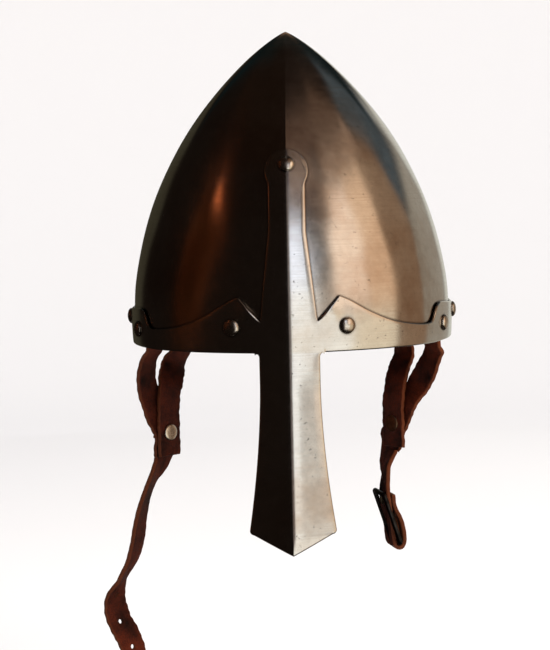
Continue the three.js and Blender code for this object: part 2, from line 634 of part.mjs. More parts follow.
// Stations along a route of {at, facing}, with width and thickness square to the run.
function stationsAlong(route, side, count) {
  const curve = new THREE.CatmullRomCurve3(route.map(({ at }) => at), false, "centripetal");
  const divisions = 400;
  curve.arcLengthDivisions = divisions;
  const lengths = curve.getLengths(divisions);
  const total = lengths[divisions];
  const knots = route.map((_, i) => lengths[Math.round((i / (route.length - 1)) * divisions)] / total);
  return steps(0, 1, count).map((share) => {
    let k = knots.findIndex((knot) => knot >= share - 1e-9);
    k = Math.max(k, 1);
    const local = clamp((share - knots[k - 1]) / (knots[k] - knots[k - 1]), 0, 1);
    const facing = lerp(route[k - 1].facing, route[k].facing, local);
    const along = curve.getTangentAt(share);
    const wide = widthWay(side, facing);
    const across = wide.addScaledVector(along, -wide.dot(along)).normalize();
    const thick = new THREE.Vector3().crossVectors(along, across).normalize();
    const size = { halfWidth: STRAP_WIDTH / 2, halfThickness: STRAP_THICKNESS / 2 };
    return { centre: curve.getPointAt(share), across, thick, distance: share * total, ...size };
  });
}

// The hanging end of a leg is rounded about the hinge line, so that it turns in place.
function withRoundTop(stations) {
  const first = stations[0];
  const radius = STRAP_THICKNESS / 2;
  const along = new THREE.Vector3().crossVectors(first.across, first.thick).normalize();
  const cap = [75, 50, 25].map((angle) => ({
    ...first,
    centre: first.centre.clone().addScaledVector(along, -radius * Math.sin(radians(angle))),
    halfThickness: radius * Math.cos(radians(angle)),
  }));
  return [...cap, ...stations];
}

function forkOf(side) {
  const drop = side < 0 ? LEFT_FORK_DROP : RIGHT_FORK_DROP;
  const reach = side < 0 ? LEFT_FORK_DISTANCE : RIGHT_FORK_DISTANCE;
  const inner = new THREE.Vector3(side * reach, FORK_BACK_DISTANCE, -drop);
  const outer = inner.clone().addScaledVector(faceWay(side, FORK_FACING), strapPitch);
  return { inner, outer, drop };
}

function hingeOf(side) {
  const front = hingePlace(side * frontLegAzimuth);
  const rear = hingePlace(side * REAR_RIVET_AZIMUTH);
  const along = rear.clone().sub(front).normalize();
  return { front, rear, facing: degrees(Math.atan2(-side * along.x, along.y)) };
}

// Route points as shares of the helmet's half width and half depth, and of the fork's drop.
const placeOf = (side, fork, out, back, down) => {
  return new THREE.Vector3(side * out * RIM_HALF_WIDTH, back * RIM_HALF_DEPTH, -down * fork.drop);
};

const routeShares = {
  left: {
    front: [[0.955, 0.312, 0.25, 26], [0.975, 0.345, 0.48, 32]],
    rear: [[0.805, 0.565, 0.32, 42], [0.832, 0.45, 0.54, 44]],
    hang: [
      [0.955, 0.417, 1.46, 13], [0.99, 0.41, 1.58, 10], [1.022, 0.407, 1.72, 12],
      [1.05, 0.407, 1.9, 16], [1.072, 0.407, 2.1, 19], [1.112, 0.407, 2.3, 17], [1.185, 0.41, 2.5, 10],
      [1.235, 0.412, 2.7, 38], [1.215, 0.407, 2.9, 50], [1.15, 0.4, 3.1, 52], [1.11, 0.4, 3.3, 44],
      [1.08, 0.4, 3.65, 40], [1.07, 0.4, 4.0, 38],
    ],
  },
  right: {
    front: [[0.918, 0.3, 0.21, 30], [0.87, 0.325, 0.42, 40], [0.818, 0.362, 0.58, 42]],
    rear: [[0.735, 0.575, 0.28, 36], [0.68, 0.452, 0.52, 40]],
    hang: [[0.598, 0.451, 1.52, 5]],
  },
};

// A point above or below another in the plane of the fork, off the vertical by a slant.
function inFork(side, from, rise, slant) {
  const sideways = -rise * Math.tan(radians(slant));
  return from.clone().addScaledVector(widthWay(side, FORK_FACING), sideways).setZ(from.z + rise);
}

function legRoute(side, kind) {
  const fork = forkOf(side);
  const hinge = hingeOf(side);
  const start = kind === "front" ? hinge.front : hinge.rear;
  const shares = routeShares[side < 0 ? "left" : "right"][kind];
  const end = kind === "front" ? fork.outer : fork.inner;
  return [
    { at: start, facing: hinge.facing },
    { at: start.clone().setZ(start.z - STRAP_THICKNESS), facing: hinge.facing },
    ...shares.map(([out, back, down, facing]) => ({ at: placeOf(side, fork, out, back, down), facing })),
    ...[1, 0.5, 0].map((share) => {
      const slant = kind === "front" ? FRONT_LEG_SLANT : 0;
      return { at: inFork(side, end, FLAT_LENGTH * share, slant), facing: FORK_FACING };
    }),
  ];
}

function hangRoute(side) {
  const fork = forkOf(side);
  const { hang } = routeShares[side < 0 ? "left" : "right"];
  const slant = side < 0 ? LEFT_HANG_SLANT : RIGHT_HANG_SLANT;
  const reach = LEG_TAIL_LENGTH + STRAP_THICKNESS;
  const flat = inFork(side, fork.outer, -reach / 2, slant);
  const free = inFork(side, fork.outer, -reach, slant);
  free.addScaledVector(faceWay(side, FORK_FACING), HANG_SPRING_DISTANCE);
  return [
    { at: flat, facing: FORK_FACING },
    { at: free, facing: FORK_FACING - HANG_UNTWIST },
    ...hang.map(([out, back, down, facing]) => ({ at: placeOf(side, fork, out, back, down), facing })),
  ];
}

function capRivet(centre, way, reach, radius) {
  const height = CAP_RIVET_HEIGHT;
  const half = [
    [CAP_SHANK_RADIUS, 0], [CAP_SHANK_RADIUS, reach + GAP], [radius, reach + GAP],
    [radius, reach + GAP + height / 2], [radius * CAP_CROWN_SHARE, reach + GAP + height],
  ];
  const lower = half.slice(1).map(([r, y]) => [r, -y]).reverse();
  const bottom = [0, -(reach + GAP + height)];
  const profile = [bottom, ...lower, ...half, [0, -bottom[1]]].map(([r, y]) => new THREE.Vector2(r, y));
  const geometry = new THREE.LatheGeometry(profile, 12).applyQuaternion(turnTo(way));
  return geometry.translate(centre.x, centre.y, centre.z);
}

function capHole(centre, way, reach) {
  const from = centre.clone().addScaledVector(way, -reach - CUT_OVERRUN_LENGTH);
  const to = centre.clone().addScaledVector(way, reach + CUT_OVERRUN_LENGTH);
  return rod(from, to, CAP_SHANK_RADIUS + GAP, 9);
}

function junction(side) {
  const fork = forkOf(side);
  const way = faceWay(side, FORK_FACING);
  const centre = fork.inner.clone().add(fork.outer).multiplyScalar(0.5);
  return { centre, way, reach: (strapPitch + STRAP_THICKNESS) / 2 };
}

function addRearLeg(side, word) {
  const route = legRoute(side, "rear");
  const { inner } = forkOf(side);
  const before = route[route.length - 2].at;
  const along = inner.clone().sub(before).normalize();
  const way = faceWay(side, FORK_FACING);
  along.addScaledVector(way, -along.dot(way)).normalize();
  route.push({ at: inner.clone().addScaledVector(along, LEG_TAIL_LENGTH), facing: FORK_FACING });
  const { centre, reach } = junction(side);
  const geometry = ribbon(withRoundTop(stationsAlong(route, side, 16)));
  add(helmet, `rear_leg_${word}`, cut(geometry, [capHole(centre, way, reach)]), leather);
}

function addLongStrap() {
  const side = -1;
  const route = [...legRoute(side, "front"), ...hangRoute(side)];
  const { inner } = forkOf(side);
  const tip = route[route.length - 1];
  const lowest = inner.z - LONG_STRAP_DROP;
  const end = { at: tip.at.clone().setZ(lowest), facing: tip.facing };
  const stations = stationsAlong([...route, end], side, 56);
  const total = stations[stations.length - 1].distance;
  for (const station of stations) {
    const left = total - station.distance;
    station.halfWidth *= lerp(TIP_WIDTH_SHARE, 1, Math.sqrt(clamp(left / TIP_TAPER_LENGTH, 0, 1)));
  }
  const holes = Array.from({ length: HOLE_COUNT }, (_, i) => {
    const distance = total - TIP_TAPER_LENGTH * 2 - HOLE_PITCH * i;
    const next = stations.findIndex((station) => station.distance >= distance);
    const middle = stations[next].centre.clone().add(stations[next - 1].centre).multiplyScalar(0.5);
    const half = stations[next].thick.clone().multiplyScalar((STRAP_THICKNESS + CUT_OVERRUN_LENGTH) / 2);
    return rod(middle.clone().sub(half), middle.add(half), HOLE_RADIUS, 7);
  });
  const { centre, way, reach } = junction(side);
  const geometry = ribbon(withRoundTop(stations));
  add(helmet, "long_strap_left", cut(geometry, [capHole(centre, way, reach), ...holes]), leather);
}

// Buckle frame of reference: origin on the fold's bar, u outwards, w up, v along the bar.

const buckle = (() => {
  const u = faceWay(1, BUCKLE_FACING);
  const v = widthWay(1, BUCKLE_FACING);
  const w = new THREE.Vector3(0, 0, 1);
  const origin = new THREE.Vector3(BUCKLE_DISTANCE, FORK_BACK_DISTANCE, -BUCKLE_DROP);
  const at = (a, c, b = 0) => {
    return origin.clone().addScaledVector(u, a).addScaledVector(w, c).addScaledVector(v, b);
  };
  return { u, v, w, at };
})();
const foldOffset = BUCKLE_ROD_RADIUS + GAP + STRAP_THICKNESS / 2;

function foldRoute() {
  const lean = radians(BUCKLE_TILT * FOLD_LEAN_SHARE);
  const layer = strapPitch / Math.cos(lean);
  const innerLean = (rise) => -foldOffset - rise * Math.tan(lean);
  const downShares = [1, FOLD_RIVET_HEIGHT / FOLD_LENGTH, 0.6, 0.3, 0];
  const down = downShares.map((share) => [innerLean(FOLD_LENGTH * share), FOLD_LENGTH * share]);
  const round = [225, 270, 315].map((angle) => [
    foldOffset * Math.cos(radians(angle)), foldOffset * Math.sin(radians(angle)),
  ]);
  const returnShares = [[0, 0], [0, 0.22], [0.5, 0.45]];
  const up = [
    ...returnShares.map(([inwards, rise]) => [foldOffset - layer * inwards, FOLD_LENGTH * rise]),
    ...[FOLD_RIVET_HEIGHT - FOLD_RIVET_RADIUS, FOLD_LENGTH].map((rise) => [innerLean(rise) + layer, rise]),
  ];
  return [...down, ...round, ...up].map(([a, c]) => ({ at: buckle.at(a, c), facing: BUCKLE_FACING }));
}

function addBuckleStrap() {
  const side = 1;
  const route = [...legRoute(side, "front"), ...hangRoute(side), ...foldRoute()];
  const { centre, way, reach } = junction(side);
  const slot = new THREE.BoxGeometry(
    4 * (foldOffset + STRAP_THICKNESS),
    2 * (TONGUE_WIRE_RADIUS + SLOT_SIDE_CLEARANCE),
    SLOT_RISE_LENGTH + 2 * foldOffset + CUT_OVERRUN_LENGTH,
  );
  slot.rotateZ(radians(BUCKLE_FACING));
  const middle = buckle.at(0, (SLOT_RISE_LENGTH - 2 * foldOffset - CUT_OVERRUN_LENGTH) / 2);
  slot.translate(middle.x, middle.y, middle.z);
  const { place, away } = foldRivetPlace();
  const cutters = [capHole(centre, way, reach), capHole(place, away, reach), slot];
  const geometry = ribbon(withRoundTop(stationsAlong(route, side, 68)));
  add(helmet, "buckle_strap_right", cut(geometry, cutters), leather);
  add(helmet, "fold_rivet", capRivet(place, away, reach, FOLD_RIVET_RADIUS), steel);
}

function foldRivetPlace() {
  const lean = radians(BUCKLE_TILT * FOLD_LEAN_SHARE);
  const a = -foldOffset - FOLD_RIVET_HEIGHT * Math.tan(lean) + strapPitch / 2;
  const away = buckle.u.clone().multiplyScalar(Math.cos(lean)).addScaledVector(buckle.w, Math.sin(lean));
  return { place: buckle.at(a, FOLD_RIVET_HEIGHT), away };
}

function addBuckle() {
  const tilt = radians(BUCKLE_TILT);
  const out = BUCKLE_WIDTH / 2 - BUCKLE_ROD_RADIUS;
  const along = (d, b) => buckle.at(-d * Math.sin(tilt), d * Math.cos(tilt), b);
  const corners = [[0, -out], [0, out], [BUCKLE_LENGTH, out], [BUCKLE_LENGTH, -out]];
  const loop = corners.flatMap(([d, b], i) => {
    const centreD = d === 0 ? BUCKLE_CORNER_RADIUS : BUCKLE_LENGTH - BUCKLE_CORNER_RADIUS;
    const centreB = b < 0 ? BUCKLE_CORNER_RADIUS - out : out - BUCKLE_CORNER_RADIUS;
    return [270, 240, 210, 180].map((start) => {
      const angle = radians(start - 90 * i);
      const reach = BUCKLE_CORNER_RADIUS;
      return along(centreD + reach * Math.cos(angle), centreB + reach * Math.sin(angle));
    });
  });
  const plane = new THREE.Vector3().crossVectors(along(1, 0).sub(along(0, 0)), buckle.v).normalize();
  add(helmet, "buckle_frame", wireLoop(loop, BUCKLE_ROD_RADIUS, 8, plane), iron);

  const eye = BUCKLE_ROD_RADIUS + GAP + TONGUE_WIRE_RADIUS;
  const eyePoints = steps(0, 360, 14).slice(0, -1).map((angle) => {
    return buckle.at(eye * Math.cos(radians(angle)), eye * Math.sin(radians(angle)));
  });
  const beside = (d) => {
    return buckle.at(-d * Math.sin(tilt) - eye * Math.cos(tilt), d * Math.cos(tilt) - eye * Math.sin(tilt));
  };
  const prong = rod(beside(0), beside(BUCKLE_LENGTH + TONGUE_OVERHANG_LENGTH), TONGUE_WIRE_RADIUS, 8);
  const ring = wireLoop(eyePoints, TONGUE_WIRE_RADIUS, 8, buckle.v);
  const tongue = toSolid(ring).add(toSolid(prong));
  add(helmet, "buckle_tongue", toGeometry(tongue), iron);
}

function addStraps() {
  for (const [word, side] of sides) {
    add(helmet, `front_tab_${word}`, strapTab(side * frontLegAzimuth), leather);
    add(helmet, `rear_tab_${word}`, strapTab(side * REAR_RIVET_AZIMUTH), leather);
    addRearLeg(side, word);
    const { centre, way, reach } = junction(side);
    add(helmet, `fork_rivet_${word}`, capRivet(centre, way, reach, CAP_RIVET_RADIUS), steel);
  }
  addLongStrap();
  addBuckleStrap();
}

addSkull();
addBand();
addRivets();
addLiner();
addStraps();
addBuckle();

export default helmet;
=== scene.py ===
"""Nasal helmet: the visible surfaces, finishes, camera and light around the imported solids.

Every shape is a function of two parameters worked out with numpy in millimetres and put into a
mesh in metres. The origin is the centre of the head opening in the plane of the rim, +Z is up and
the nasal faces -Y. Azimuths are degrees round the skull, 0 at the nasal and positive towards +X.
"""

import logging
import math
from collections.abc import Callable
from dataclasses import dataclass, field
from enum import Enum

import bpy
import numpy as np
from bpy.types import ID, Material, Mesh, Node, NodeSocket, NodeTree, Object
from mathutils import Matrix


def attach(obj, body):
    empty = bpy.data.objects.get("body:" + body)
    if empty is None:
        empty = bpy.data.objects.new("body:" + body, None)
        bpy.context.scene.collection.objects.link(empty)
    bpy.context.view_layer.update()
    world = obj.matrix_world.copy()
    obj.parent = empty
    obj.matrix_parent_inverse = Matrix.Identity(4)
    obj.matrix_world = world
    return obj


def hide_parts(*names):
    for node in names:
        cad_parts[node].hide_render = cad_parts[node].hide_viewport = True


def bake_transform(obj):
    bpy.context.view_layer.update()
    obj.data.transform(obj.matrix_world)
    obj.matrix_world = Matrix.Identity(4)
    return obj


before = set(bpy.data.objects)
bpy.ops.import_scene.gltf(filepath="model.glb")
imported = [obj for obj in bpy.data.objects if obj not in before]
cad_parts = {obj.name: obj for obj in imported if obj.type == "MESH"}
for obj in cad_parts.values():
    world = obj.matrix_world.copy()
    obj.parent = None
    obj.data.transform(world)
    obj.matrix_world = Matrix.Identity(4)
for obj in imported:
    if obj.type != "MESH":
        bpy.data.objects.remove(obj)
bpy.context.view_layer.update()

LOG = logging.getLogger("nasal_helmet")
MM = 0.001
# The air between two pieces that lie on each other, in millimetres.
GAP = 0.3
# Steps round a plate's rounded edge, and how far its corners may be drawn out.
EDGE_STEPS = 6
CORNER_REACH = 1.6
# The chin strap's leather, and how far apart its layers lie where they overlap.
STRAP_WIDTH = 19.0
STRAP_THICKNESS = 2.8
STRAP_PITCH = 3.4
# A strap's attribute: distance along, distance across, and 0 outside to FLESH_MARK inside.
PLACE = "place"
FLESH_MARK = 1.0
# A board's attribute: how much of its glow is left at a point.
GLOW = "glow"
UP = np.array([0.0, 0.0, 1.0])

Array = np.ndarray
Shape = Callable[[Array, Array], Array]
Knots = list[tuple[Array, float]]
Pair = tuple[float, float]


class Side(Enum):
    """The two sides of the helmet, as seen from the front."""

    LEFT = -1
    RIGHT = 1

    @property
    def word(self) -> str:
        """The side's name in the names of pieces and nodes."""
        return self.name.lower()

    @property
    def body(self) -> str:
        """The body that the chin strap of this side belongs to."""
        return f"{self.word}_strap"


# Arrays


def lerp(start: Array, end: Array, share: Array) -> Array:
    """The value that lies a share of the way from start to end."""
    return start + (end - start) * share


def smoothstep(value: Array, low: float, high: float) -> Array:
    """Zero below low, one above high, and a smooth S between them."""
    share = np.clip((value - low) / (high - low), 0.0, 1.0)
    return share * share * (3.0 - 2.0 * share)


def unit(vectors: Array) -> Array:
    """Vectors scaled to length one."""
    return vectors / np.linalg.norm(vectors, axis=-1, keepdims=True)


def square_to(vectors: Array, along: Array) -> Array:
    """The part of each vector that is square to a direction, at length one."""
    return unit(vectors - along * np.sum(vectors * along, axis=-1, keepdims=True))


def vector(x: float, y: float, z: float) -> Array:
    """A point or direction as an array."""
    return np.array([x, y, z], float)


# Meshes


def faces_of(grid: Array, closed: bool = False) -> Array:
    """Quads between neighbouring entries of a grid of vertex numbers.

    Args:
        grid: Vertex numbers in rows and columns.
        closed: Whether the last column joins the first.

    Returns:
        An array of quads.
    """
    if closed:
        grid = np.concatenate([grid, grid[:, :1]], axis=1)
    corners = [grid[:-1, :-1], grid[:-1, 1:], grid[1:, 1:], grid[1:, :-1]]
    return np.stack(corners, axis=-1).reshape(-1, 4)


def clean_faces(quads: Array) -> list[list[int]]:
    """Face lists in which a quad with two corners in one place is a triangle.

    Args:
        quads: Rows of four vertex numbers.

    Returns:
        Lists of three or four vertex numbers.
    """
    same = quads == np.roll(quads, -1, axis=1)
    whole = quads[~same.any(axis=1)]
    folded = quads[same.sum(axis=1) == 1]
    keep = ~(folded == np.roll(folded, -1, axis=1))
    return whole.tolist() + folded[keep].reshape(-1, 3).tolist()


def volume_of(points: Array, faces: list[list[int]]) -> float:
    """The signed volume inside a closed mesh, by the sum of its fans' tetrahedra.

    Args:
        points: Vertex places.
        faces: Lists of three or four vertex numbers.

    Returns:
        The volume, negative where the faces point inwards.
    """
    quads = np.array([face if len(face) == 4 else [*face, face[2]] for face in faces])
    a, b, c, d = (points[quads[:, k]] for k in range(4))
    fans = np.einsum("ij,ij->i", a, np.cross(b, c)) + np.einsum("ij,ij->i", a, np.cross(c, d))
    return float(fans.sum() / 6.0)


def mesh_of(name: str, points: Array, faces: list[list[int]]) -> Mesh:
    """A mesh in metres from points in millimetres.

    Args:
        name: The mesh's name.
        points: Vertex places in millimetres.
        faces: Lists of vertex numbers.

    Returns:
        The mesh.
    """
    mesh = bpy.data.meshes.new(name)
    mesh.from_pydata((points.reshape(-1, 3) * MM).tolist(), [], faces)
    mesh.update()
    return mesh


def put_in_scene(name: str, data: ID) -> Object:
    """A new object, linked to the scene.

    Args:
        name: The object's name.
        data: Its mesh, light or camera.

    Returns:
        The object.
    """
    thing = bpy.data.objects.new(name, data)
    bpy.context.scene.collection.objects.link(thing)
    return thing


def make_piece(name: str, points: Array, quads: Array, sharp: float,
               places: Array | None = None) -> Object:
    """Makes a closed piece from points in millimetres, its faces pointing outwards.

    Args:
        name: The piece's name.
        points: Vertex places in millimetres.
        quads: Rows of four vertex numbers.
        sharp: Degrees above which an edge is shaded as a crease.
        places: For each vertex, where it is on the material, in millimetres.

    Returns:
        The object, with its mesh in metres and its place in the mesh.
    """
    faces = clean_faces(quads)
    if volume_of(points, faces) < 0:
        faces = [face[::-1] for face in faces]
    mesh = mesh_of(name, points, faces)
    if places is not None:
        layer = mesh.attributes.new(PLACE, "FLOAT_VECTOR", "POINT")
        layer.data.foreach_set("vector", (places * MM).astype(np.float32).ravel())
    mesh.set_sharp_from_angle(angle=math.radians(sharp))
    return put_in_scene(name, mesh)


def outward(points: Array, edges: Array, facing: Array) -> Array:
    """The way out of a plate at each vertex of its free edges.

    It is the sum of the edges' own ways out, each square to its edge and to the face beside it,
    drawn out by 1 / cos of half the corner so that the border moves evenly.

    Args:
        points: Vertex places.
        edges: Pairs of vertex numbers along the free edges, the plate at their left.
        facing: The way out of the skin at each vertex.

    Returns:
        A vector for each vertex, zero inside the plate.
    """
    middle = unit(facing[edges[:, 0]] + facing[edges[:, 1]])
    out = unit(np.cross(points[edges[:, 1]] - points[edges[:, 0]], middle))
    total = np.zeros_like(points)
    for end in (0, 1):
        np.add.at(total, edges[:, end], out)
    size = np.linalg.norm(total, axis=1, keepdims=True)
    return total / np.maximum(size, 1e-9) * np.clip(2.0 / np.maximum(size, 1e-9), 1.0, CORNER_REACH)


def plate(name: str, grids: list[Array], outer: Shape, inner: Shape, rounding: float,
          sharp: float = 40.0) -> Object:
    """A closed plate: an outer and an inner skin over welded grids, and a rounded edge round each.

    The edge is half an ellipse: as it goes round by an angle a, it moves from the outer skin to
    the inner by cos a and stands out by the rounding times sin a.

    Args:
        name: The piece's name.
        grids: Each has rows and columns of parameter pairs. Grids that share an edge share its pairs.
        outer: Maps the two parameters to points of the outer skin.
        inner: The same for the inner skin.
        rounding: How far the rounded edge reaches, in millimetres.
        sharp: Degrees above which an edge is shaded as a crease.

    Returns:
        The object.
    """
    pairs = np.concatenate([grid.reshape(-1, 2) for grid in grids])
    starts = np.cumsum([0] + [grid.shape[0] * grid.shape[1] for grid in grids])
    numbers = [start + np.arange(grid.shape[0] * grid.shape[1]).reshape(grid.shape[:2])
               for start, grid in zip(starts, grids)]
    quads = np.concatenate([faces_of(number) for number in numbers])
    skin = outer(pairs[:, 0], pairs[:, 1])
    _, first, back = np.unique(np.round(skin, 3), axis=0, return_index=True, return_inverse=True)
    pairs, quads = pairs[first], back.ravel()[quads]
    count = len(pairs)
    edges = np.stack([quads, np.roll(quads, -1, axis=1)], axis=-1).reshape(-1, 2)
    edges = edges[edges[:, 0] != edges[:, 1]]
    free = edges[~np.isin(edges[:, 0] * count + edges[:, 1], edges[:, 1] * count + edges[:, 0])]
    top, base = outer(pairs[:, 0], pairs[:, 1]), inner(pairs[:, 0], pairs[:, 1])
    middle, half = (top + base) / 2.0, (top - base) / 2.0
    cross = np.cross(top[quads[:, 2]] - top[quads[:, 0]], top[quads[:, 3]] - top[quads[:, 1]])
    facing = unit(half) * np.sign(np.sum(cross * half[quads[:, 0]]))
    out = outward(top, free, facing) * rounding
    turn = np.linspace(0.0, np.pi, EDGE_STEPS + 1)[:, None, None]
    rings = middle + half * np.cos(turn) + out * (np.sin(turn) - 1.0)
    border, spot = np.unique(free, return_inverse=True)
    start, end = spot.reshape(-1, 2).T
    between_skins = 2 * count + np.arange((EDGE_STEPS - 1) * len(border)).reshape(-1, len(border))
    ladder = np.vstack([border, between_skins, border + count])
    walls = np.stack([ladder[:-1, end], ladder[:-1, start], ladder[1:, start], ladder[1:, end]], axis=-1)
    points = np.concatenate([rings[0], rings[-1], rings[1:-1, border].reshape(-1, 3)])
    marks = np.repeat(np.linspace(0.0, FLESH_MARK, EDGE_STEPS + 1)[1:-1], len(border))
    round_edge = np.column_stack([np.tile(pairs[border], (EDGE_STEPS - 1, 1)), marks])
    places = np.column_stack([np.tile(pairs, (2, 1)), np.repeat([0.0, FLESH_MARK], count)])
    quads = np.concatenate([quads, quads[:, ::-1] + count, walls.reshape(-1, 4)])
    return make_piece(name, points, quads, sharp, np.vstack([places, round_edge]))


def swept(name: str, rings: Array, closed: bool, sharp: float = 50.0) -> Object:
    """A closed piece from rings of points, one ring after another along a path.

    Args:
        name: The piece's name.
        rings: Points by ring and by place in the ring. A ring may shrink to one point at an end.
        closed: Whether the last ring joins the first, as round a loop.
        sharp: Degrees above which an edge is shaded as a crease.

    Returns:
        The object.
    """
    count, around = rings.shape[:2]
    grid = np.arange(count * around).reshape(count, around)
    quads = faces_of(np.concatenate([grid, grid[:1]]) if closed else grid, closed=True)
    points = rings.reshape(-1, 3)
    _, first, back = np.unique(np.round(points, 3), axis=0, return_index=True, return_inverse=True)
    return make_piece(name, points[first], back.ravel()[quads], sharp)


def spun(profile: Array, segments: int) -> Array:
    """Rings of a solid of revolution: each profile point (radius, height) goes once round the Z axis.

    Args:
        profile: Rows of radius and height.
        segments: Points in each ring.

    Returns:
        The rings.
    """
    turn = np.linspace(0.0, 2.0 * np.pi, segments, endpoint=False)
    radius, height = profile[:, 0, None], profile[:, 1, None]
    level = np.broadcast_to(height, (len(profile), segments))
    return np.stack([radius * np.cos(turn), radius * np.sin(turn), level], axis=-1)


def stood_on(rings: Array, place: Array, way: Array) -> Array:
    """Turns rings made about the Z axis so that Z points a given way, and moves them to a place.

    Args:
        rings: The rings.
        place: Where their origin goes.
        way: Where their Z axis points.

    Returns:
        The moved rings.
    """
    up = unit(way)
    helper = UP if abs(up[2]) < 0.9 else vector(1.0, 0.0, 0.0)
    side = unit(np.cross(helper, up))
    return rings @ np.stack([side, np.cross(up, side), up]) + place


def wire(points: Array, radii: Array, sides: int, up: Array, closed: bool) -> Array:
    """Rings of round wire along a path: a circle of each radius stands square to the path at its point.

    Args:
        points: The path.
        radii: The wire's radius at each point.
        sides: Points in each ring.
        up: A direction that the path is never parallel to.
        closed: Whether the path is a loop.

    Returns:
        The rings.
    """
    if closed:
        along = unit(np.roll(points, -1, axis=0) - np.roll(points, 1, axis=0))
    else:
        along = unit(np.gradient(points, axis=0))
    side = unit(np.cross(along, up))
    top = np.cross(side, along)
    turn = np.linspace(0.0, 2.0 * np.pi, sides, endpoint=False)[None, :, None]
    circles = side[:, None] * np.cos(turn) + top[:, None] * np.sin(turn)
    return points[:, None] + radii[:, None, None] * circles


def spline(knots: Array, per_span: int = 40) -> tuple[Array, Array]:
    """A centripetal Catmull-Rom curve through knots, by Barry and Goldman's pyramid of blends.

    Args:
        knots: The points that it passes through.
        per_span: Steps between two knots.

    Returns:
        The curve's points, and for each its place counted in knots.
    """
    ends = [2 * knots[0] - knots[1], *knots, 2 * knots[-1] - knots[-2]]
    p = np.array(ends)
    gaps = np.sqrt(np.linalg.norm(np.diff(p, axis=0), axis=1))
    t = np.concatenate([[0.0], np.cumsum(gaps)])
    spans = np.arange(1, len(p) - 2)
    share = np.linspace(0.0, 1.0, per_span, endpoint=False)
    at = (t[spans, None] + gaps[spans, None] * share)[..., None]
    tk = [t[spans + k][:, None, None] for k in (-1, 0, 1, 2)]
    pk = [p[spans + k][:, None, :] for k in (-1, 0, 1, 2)]

    def blend(a: Array, b: Array, ta: Array, tb: Array) -> Array:
        """The blend of two points for the moment between their own."""
        return (a * (tb - at) + b * (at - ta)) / (tb - ta)

    low = [blend(pk[k], pk[k + 1], tk[k], tk[k + 1]) for k in range(3)]
    mid = [blend(low[0], low[1], tk[0], tk[2]), blend(low[1], low[2], tk[1], tk[3])]
    curve = blend(mid[0], mid[1], tk[1], tk[2]).reshape(-1, p.shape[1])
    places = (np.arange(len(spans))[:, None] + share).ravel()
    return np.vstack([curve, knots[-1]]), np.append(places, len(knots) - 1.0)


# Finishes


def linear(hex_colour: str) -> tuple[float, float, float, float]:
    """An sRGB colour written as six hex digits, as linear values with full alpha.

    Args:
        hex_colour: The six digits.

    Returns:
        Red, green, blue and alpha.
    """
    parts = [int(hex_colour[k:k + 2], 16) / 255.0 for k in (0, 2, 4)]
    red, green, blue = (c / 12.92 if c <= 0.04045 else ((c + 0.055) / 1.055) ** 2.4 for c in parts)
    return red, green, blue, 1.0


def node(tree: NodeTree, kind: str, settings: dict | None = None,
         links: dict | None = None) -> Node:
    """Adds a node with its settings and links.

    Args:
        tree: The node tree.
        kind: The node's class name.
        settings: Values by the name or number of an input, or by the name of a property.
        links: For each input, the socket that feeds it, or a node whose first output does.

    Returns:
        The node.
    """
    new = tree.nodes.new(kind)
    for name, value in (settings or {}).items():
        if isinstance(name, int) or name in new.inputs:
            new.inputs[name].default_value = value
        else:
            setattr(new, name, value)
    for name, source in (links or {}).items():
        if isinstance(source, Node):
            source = next(socket for socket in source.outputs if socket.enabled)
        tree.links.new(source, new.inputs[name])
    return new


def fresh_material(name: str) -> tuple[Material, NodeTree]:
    """A material with an empty node tree.

    Args:
        name: The material's name.

    Returns:
        The material and its tree.
    """
    material = bpy.data.materials.new(name)
    material.use_nodes = True
    material.node_tree.nodes.clear()
    return material, material.node_tree


def per_mm(size: float) -> float:
    """The texture scale whose features are about a given number of millimetres across."""
    return 1.0 / (size * MM)


def noise(size: float, detail: float, roughness: float) -> dict:
    """Settings of a noise whose features are about a size in millimetres across."""
    return {"Scale": per_mm(size), "Detail": detail, "Roughness": roughness}


def between(low: float, high: float, start: float = 0.0, end: float = 1.0) -> dict:
    """Settings that take a value from one range to another, held at its ends."""
    return {"From Min": low, "From Max": high, "To Min": start, "To Max": end}


